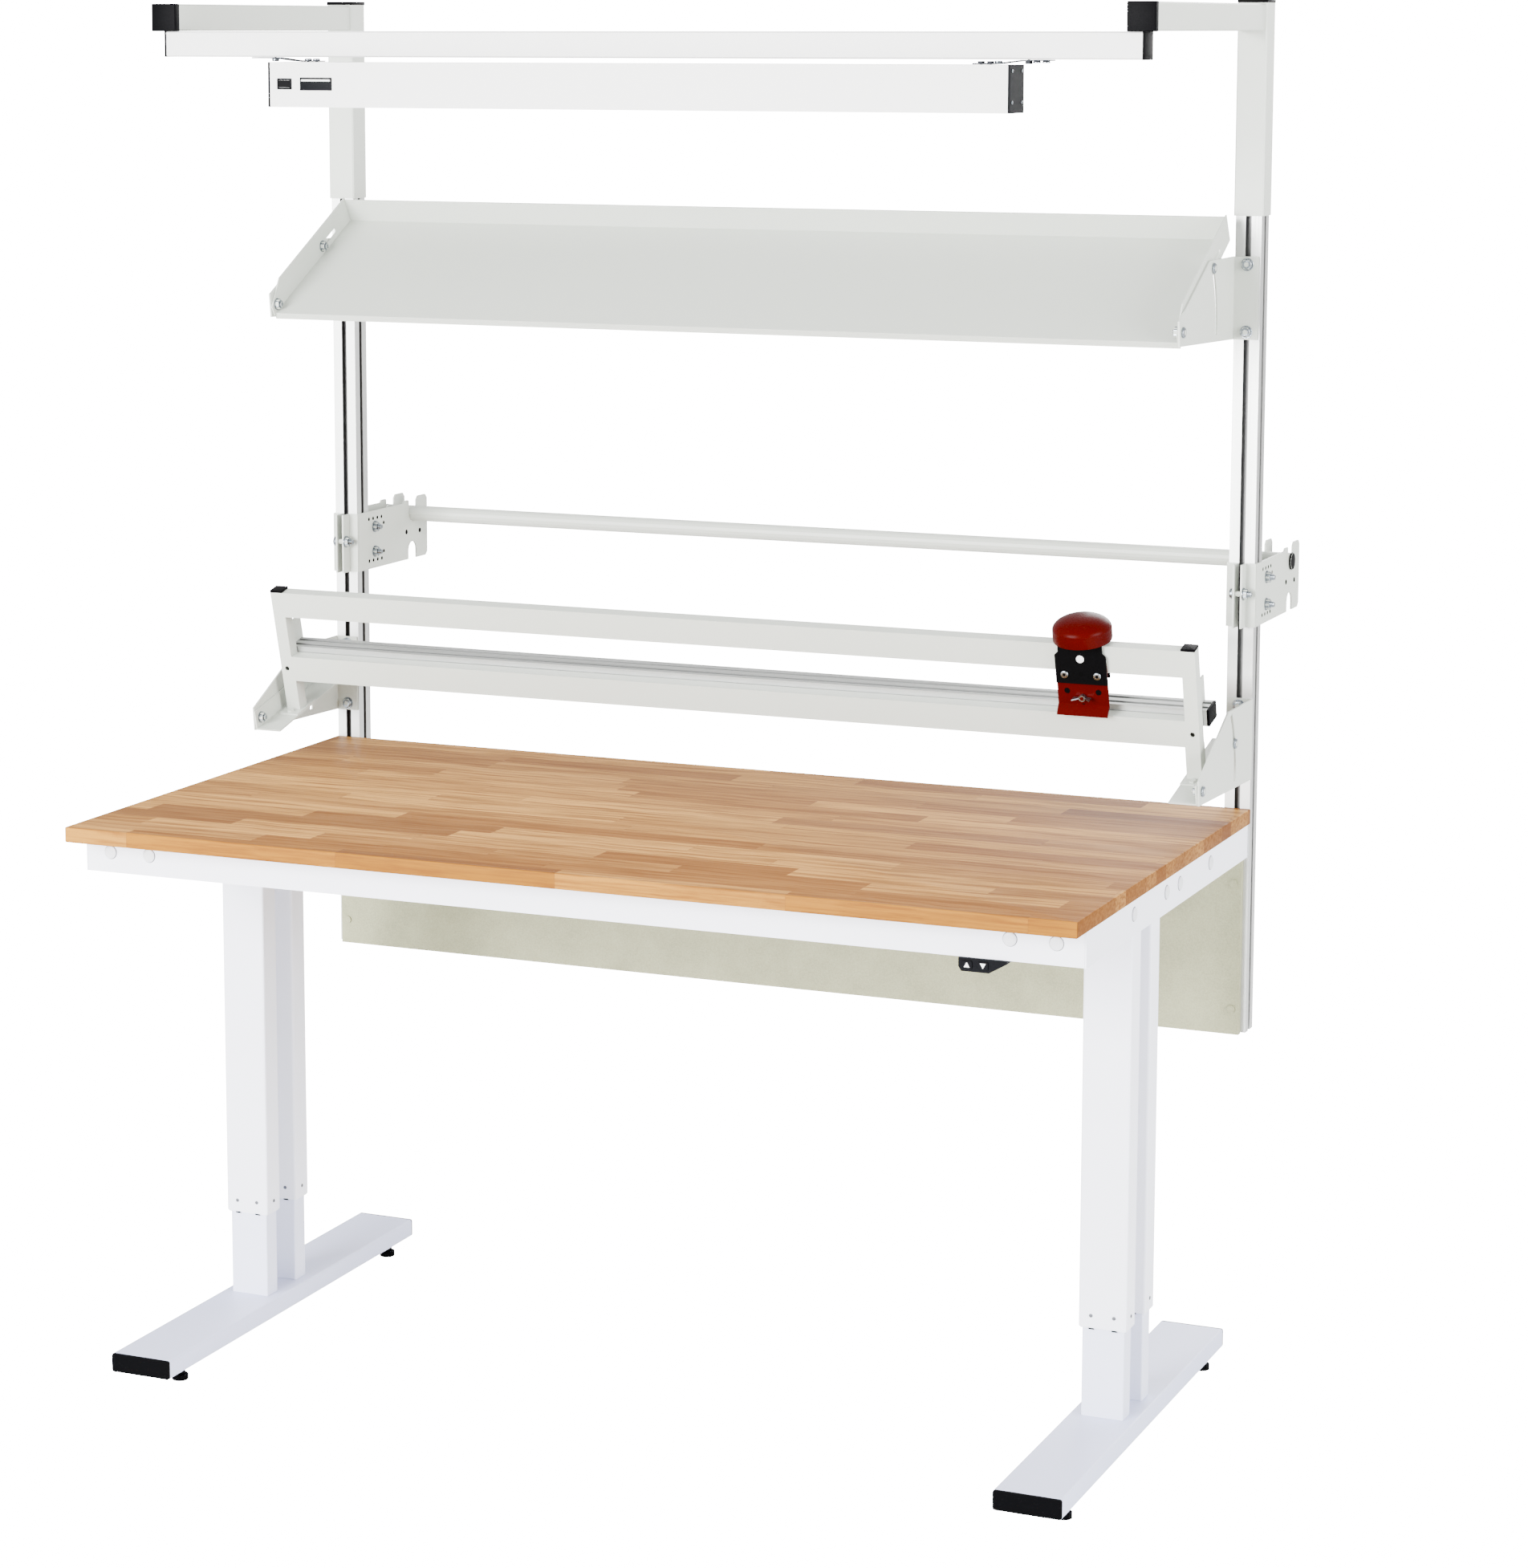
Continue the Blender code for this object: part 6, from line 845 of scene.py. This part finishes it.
for side in SIDES:
    strip_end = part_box(f"lamp_spring_{side}")[0][0]
    lamp_screws += bolt_head((strip_end + NUT_REACH, STRIP_LINE, NUT_LEVEL), "-z", *STRIP_NUT)
    for reach in SCREW_REACHES:
        lamp_screws += bolt_head((strip_end + reach, STRIP_LINE, SCREW_LEVEL), "+z", *STRIP_SCREW)
make_piece("lamp_screws", lamp_screws, ZINC, "lift")
print("screws on the lamp:", len(lamp_screws))

# %% [markdown]
# ## Pins on the columns
# The plastic glides between the telescoping tubes are held by small pins near the outer tube's
# lower end: two on each broad face and one on each narrow face. Below each pin of a broad face a
# dark clip shows under the edge. The four columns are alike, so one loop measures and dresses them.

# %% Set the glide pins
PIN_HEIGHT, PIN_SPREAD, PIN_SIZE = 0.1918, 0.0332, (0.0027, 0.0007)
CLIP_DEPTH, CLIP_HALF, CLIP_BELOW, CLIP_ABOVE, CLIP_EDGE = 0.0016, 0.0038, 0.0012, 0.0004, 0.0003
pins, clips = [], []
for side in SIDES:
    for place in ("front", "rear"):
        column_low, column_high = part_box(f"outer_column_{side}_{place}")
        middle = (column_low + column_high) / 2
        for dx in (-PIN_SPREAD / 2, PIN_SPREAD / 2):
            for y, axis in ((column_low[1], "-y"), (column_high[1], "+y")):
                x = middle[0] + dx
                pins += bolt_head((x, y, PIN_HEIGHT), axis, *PIN_SIZE)
                depth = CLIP_DEPTH if axis == "-y" else -CLIP_DEPTH
                clips.append(cap((x - CLIP_HALF, y + depth, column_low[2] - CLIP_BELOW),
                                 (x + CLIP_HALF, y + 2.4 * depth, column_low[2] + CLIP_ABOVE), CLIP_EDGE))
        for x, axis in ((column_low[0], "-x"), (column_high[0], "+x")):
            pins += bolt_head((x, middle[1], PIN_HEIGHT), axis, *PIN_SIZE)
make_piece("glide_pins", pins, DRIVE_STEEL, "lift")
make_piece("glide_clips", clips, DARK_MOULDED, "lift")
print("pins:", len(pins), "clips:", len(clips))

# %% [markdown]
# ## Plugs in the rails
# White plugs close the screw holes of the frame under the top. A plug is a shallow dome, a little
# greyer than the coat round it, and round its rim a thin dark ring of painted shade stands for the shade in
# the gap.

# %% Press in the plugs
PLUG_DROP, PLUG_RADIUS, PLUG_PROUD = 0.0203, 0.0092, 0.0015
FRONT_PLUGS, SIDE_PLUGS = (0.643, 0.7062), (-0.265, -0.118, -0.056, 0.092)
PLUG_PROFILE = [(PLUG_RADIUS, -PLUG_PROUD), (PLUG_RADIUS, 0.0), (PLUG_RADIUS * 0.94, 0.0003),
                (PLUG_RADIUS * 0.6, 0.0006), (0.0005, 0.0007)]
# Painted shade: a flat dark disc just below each plug's face shows as a thin ring round its rim, where the
# gap is shaded.
GAP_RADIUS, GAP_TOP = PLUG_RADIUS * 1.10, 0.0001 - PLUG_PROUD
GAP_SHADE_PROFILE = [(GAP_RADIUS, -PLUG_PROUD), (GAP_RADIUS, GAP_TOP), (0.0005, GAP_TOP)]
plug_z = top_low[2] - PLUG_DROP
front_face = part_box("front_rail")[0][1]
plug_places = [((sign * x, front_face, plug_z), "-y") for sign in SIDES.values() for x in FRONT_PLUGS]
for side, sign in SIDES.items():
    rail_low, rail_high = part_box(f"side_rail_{side}")
    outer = rail_high[0] if sign > 0 else rail_low[0]
    plug_places += [((outer, y, plug_z), OUTWARD[sign]) for y in SIDE_PLUGS]
make_piece("rail_plugs", [spun(PLUG_PROFILE, 32, axis, place) for place, axis in plug_places],
           PLUG_WHITE, "lift")
make_piece("plug_gap_shade", [spun(GAP_SHADE_PROFILE, 32, axis, place) for place, axis in plug_places],
           PAINTED_GAP_SHADE, "lift")
print("plugs:", len(plug_places))

# %% [markdown]
# ## The cutter's head
# The red knob is a shallow dome over a short rim with a soft step between them. As a turned shape
# it is a profile of radius and height: a rim, nearly a quarter of an ellipse, and a hollow
# underside. The CAD knob has only a few facets, so a finer one replaces it.

# %% Turn the red knob
KNOB_RADIUS, KNOB_LOW, KNOB_RIM, KNOB_RISE = 0.042, 0.187, 0.017, 0.018
KNOB_WALL, KNOB_Y, HEAD_X = 0.0025, 0.072, 0.5665
SHOULDER, CROWN = 0.9, 1.08
STEM_RADIUS, STEM_LOW = 0.019, 0.1888
angle = np.linspace(0, math.pi / 2, 18)[:-1]
rim_top = KNOB_LOW + KNOB_RIM
hollow = KNOB_RADIUS - KNOB_WALL
dome = [(KNOB_RADIUS * math.cos(a) ** SHOULDER, rim_top + KNOB_RISE * math.sin(a) ** CROWN) for a in angle]
knob_profile = [(0.003, rim_top), (hollow, rim_top), (hollow, KNOB_LOW + 0.001),
                (KNOB_RADIUS - KNOB_WALL / 2, KNOB_LOW), (KNOB_RADIUS - 0.0004, KNOB_LOW + 0.0004),
                (KNOB_RADIUS, KNOB_LOW + 0.002), (KNOB_RADIUS + 0.0001, rim_top - 0.003),
                (KNOB_RADIUS - 0.0002, rim_top - 0.0008)] + dome + [(0.0008, rim_top + KNOB_RISE)]
knob = spun(knob_profile, 64, "+z", (HEAD_X, KNOB_Y, 0))
stem = spun([(STEM_RADIUS, STEM_LOW), (STEM_RADIUS, rim_top + 0.001)], 40, "+z", (HEAD_X, KNOB_Y, 0))
red_knob = make_piece("red_knob", [leaning(knob), leaning(stem)], RED_GLOSS, "cutter_head", 50)
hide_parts("dome")
print("knob:", len(knob[1]), "faces")

# %% [markdown]
# The carriage below the knob has two bright screws and a pale rivet, and small holes show in it and
# in the red plate. They are turned shapes and discs of painted shade for the holes, worked out upright and
# then leaned.

# %% Fix the head's screws, rivet and the painted shade of its holes
HEAD_FRONT, HEAD_LOW, GRIP_FRONT, GRIP_LOW = 0.0545, 0.1255, 0.0573, 0.079
HEAD_SCREW, SCREW_SPREAD, SCREW_RISE, RIVET_RISE = (0.0058, 0.0034), 0.024, 0.014, 0.038
HOLE_SPREAD, HOLE_RISE, HOLE_RADIUS = 0.023, 0.034, 0.0043
head_screws = []
for x in (HEAD_X - SCREW_SPREAD, HEAD_X + SCREW_SPREAD):
    head_screws += bolt_head((x, HEAD_FRONT, HEAD_LOW + SCREW_RISE), "-y", *HEAD_SCREW, socket=0.4)
head_screws = [leaning(skin) for skin in head_screws]
make_piece("head_screws", head_screws, ZINC, "cutter_head")
rivet = spun([(0.0056, -0.0005), (0.0056, 0.0006), (0.0050, 0.0010), (0.0008, 0.0011)], 32, "-y",
             (HEAD_X, HEAD_FRONT, HEAD_LOW + RIVET_RISE))
make_piece("head_rivet", [leaning(rivet)], WHITE_PRINT, "cutter_head")
# The spots are discs of painted shade where the holes are.
spots = [(0.0, HEAD_LOW + 0.015, HEAD_FRONT, 0.0032), (0.0, GRIP_LOW + 0.013, GRIP_FRONT, 0.0030)]
spots += [(dx, GRIP_LOW + HOLE_RISE, GRIP_FRONT, HOLE_RADIUS) for dx in (-HOLE_SPREAD, HOLE_SPREAD)]
hole_shade_spots = [leaning(spun([(radius, DISC_SUNK), (radius, 0.0001), (radius * 0.2, 0.00012)], 24, "-y",
                           (HEAD_X + dx, face, z))) for dx, z, face, radius in spots]
make_piece("head_hole_shade", hole_shade_spots, HOLE_SHADE, "cutter_head")
print("head pieces:", len(head_screws), len(hole_shade_spots))

# %% [markdown]
# ## The handset
# Two buttons under the front edge raise and lower the table. Each has a white triangle, printed
# on the key: one points up and one points down. A triangle is a stack of two three-point rings.

# %% Print the triangles on the keys
ARROW_HALF, ARROW_RISE, PRINT = 0.0040, 0.0034, 0.0002


def arrow(key, up):
    """A thin triangle on the key's front face, its tip up or down."""
    low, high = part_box(key)
    x, z = (low[0] + high[0]) / 2, (low[2] + high[2]) / 2
    tip = ARROW_RISE if up else -ARROW_RISE
    corners = [(x - ARROW_HALF, z - tip), (x + ARROW_HALF, z - tip), (x, z + tip)]
    if not up:
        corners = corners[::-1]
    rings = [[(cx, y, cz) for cx, cz in corners] for y in (low[1] + PRINT, low[1] - PRINT)]
    return loft(rings)


make_piece("arrow_up", [arrow("button_up", True)], WHITE_PRINT, "button_up")
make_piece("arrow_down", [arrow("button_down", False)], WHITE_PRINT, "button_down")
print("arrows on the two keys")

# %% [markdown]
# ## The studio
# The photograph is a cut-out on white. The floor and the world glow for the camera alone, so the
# ground stays clean white while only a mild fill reaches the table. A wide light above the front
# fills the faces, a weaker one from the right keeps the two sides of each tube apart, and a third
# from behind lifts the edges.

# %% Floor, world and lights
GLOW, FILL = 18.0, 1.5


def seen_only(tree, seen, lit):
    """One strength for what the camera sees, and another for the light that reaches the table:
    lit + (seen - lit) times Is Camera Ray."""
    ray = tree.nodes.new("ShaderNodeLightPath").outputs["Is Camera Ray"]
    return calculate(tree, "MULTIPLY_ADD", ray, seen - lit, lit)


def build_floor_finish():
    """A pale matt floor with the faintest drift of tone, that glows for the camera alone."""
    material, tree, shader = new_finish("pale floor", 0.0, 0.8, 0.2)
    place, _ = object_place(tree)
    tree.links.new(blend_colours(tree, cloud(tree, place, 0.8, 2.0), (0.86, 0.86, 0.86), (0.88, 0.88, 0.88)),
                   shader.inputs["Base Color"])
    shader.inputs["Emission Color"].default_value = (1.0, 1.0, 1.0, 1.0)
    tree.links.new(seen_only(tree, GLOW - FILL, 0.0), shader.inputs["Emission Strength"])
    return material


FLOOR_HALF = 14.0
floor_mesh = bpy.data.meshes.new("floor")
corners = [(x * FLOOR_HALF, y * FLOOR_HALF, 0) for x, y in ((-1, -1), (1, -1), (1, 1), (-1, 1))]
floor_mesh.from_pydata(corners, [], [(0, 1, 2, 3)])
floor_mesh.materials.append(build_floor_finish())
floor = bpy.data.objects.new("floor", floor_mesh)
bpy.context.scene.collection.objects.link(floor)

world = bpy.data.worlds.new("studio")
world.use_nodes = True
backdrop = world.node_tree.nodes["Background"]
backdrop.inputs["Color"].default_value = (1.0, 1.0, 1.0, 1.0)
world.node_tree.links.new(seen_only(world.node_tree, GLOW, FILL), backdrop.inputs["Strength"])
bpy.context.scene.world = world


def soft_light(name, place, aim, size, power):
    """A square area light at a place, turned so that its -Z axis points at the aim."""
    data = bpy.data.lights.new(name, "AREA")
    data.size, data.energy = size, power
    light = bpy.data.objects.new(name, data)
    light.location = place
    direction = np.subtract(place, aim)
    light.rotation_euler = (math.atan2(math.hypot(direction[0], direction[1]), direction[2]), 0,
                            math.atan2(direction[0], -direction[1]))
    bpy.context.scene.collection.objects.link(light)


TABLE_MIDDLE = (0.0, 0.0, 1.0)
soft_light("front light", (-1.8, -5.4, 2.0), TABLE_MIDDLE, 3.0, 1350.0)
soft_light("right light", (5.4, -1.6, 2.4), TABLE_MIDDLE, 2.6, 640.0)
soft_light("back light", (0.4, 4.6, 3.0), TABLE_MIDDLE, 2.6, 250.0)
print("lights:", len(bpy.data.lights))
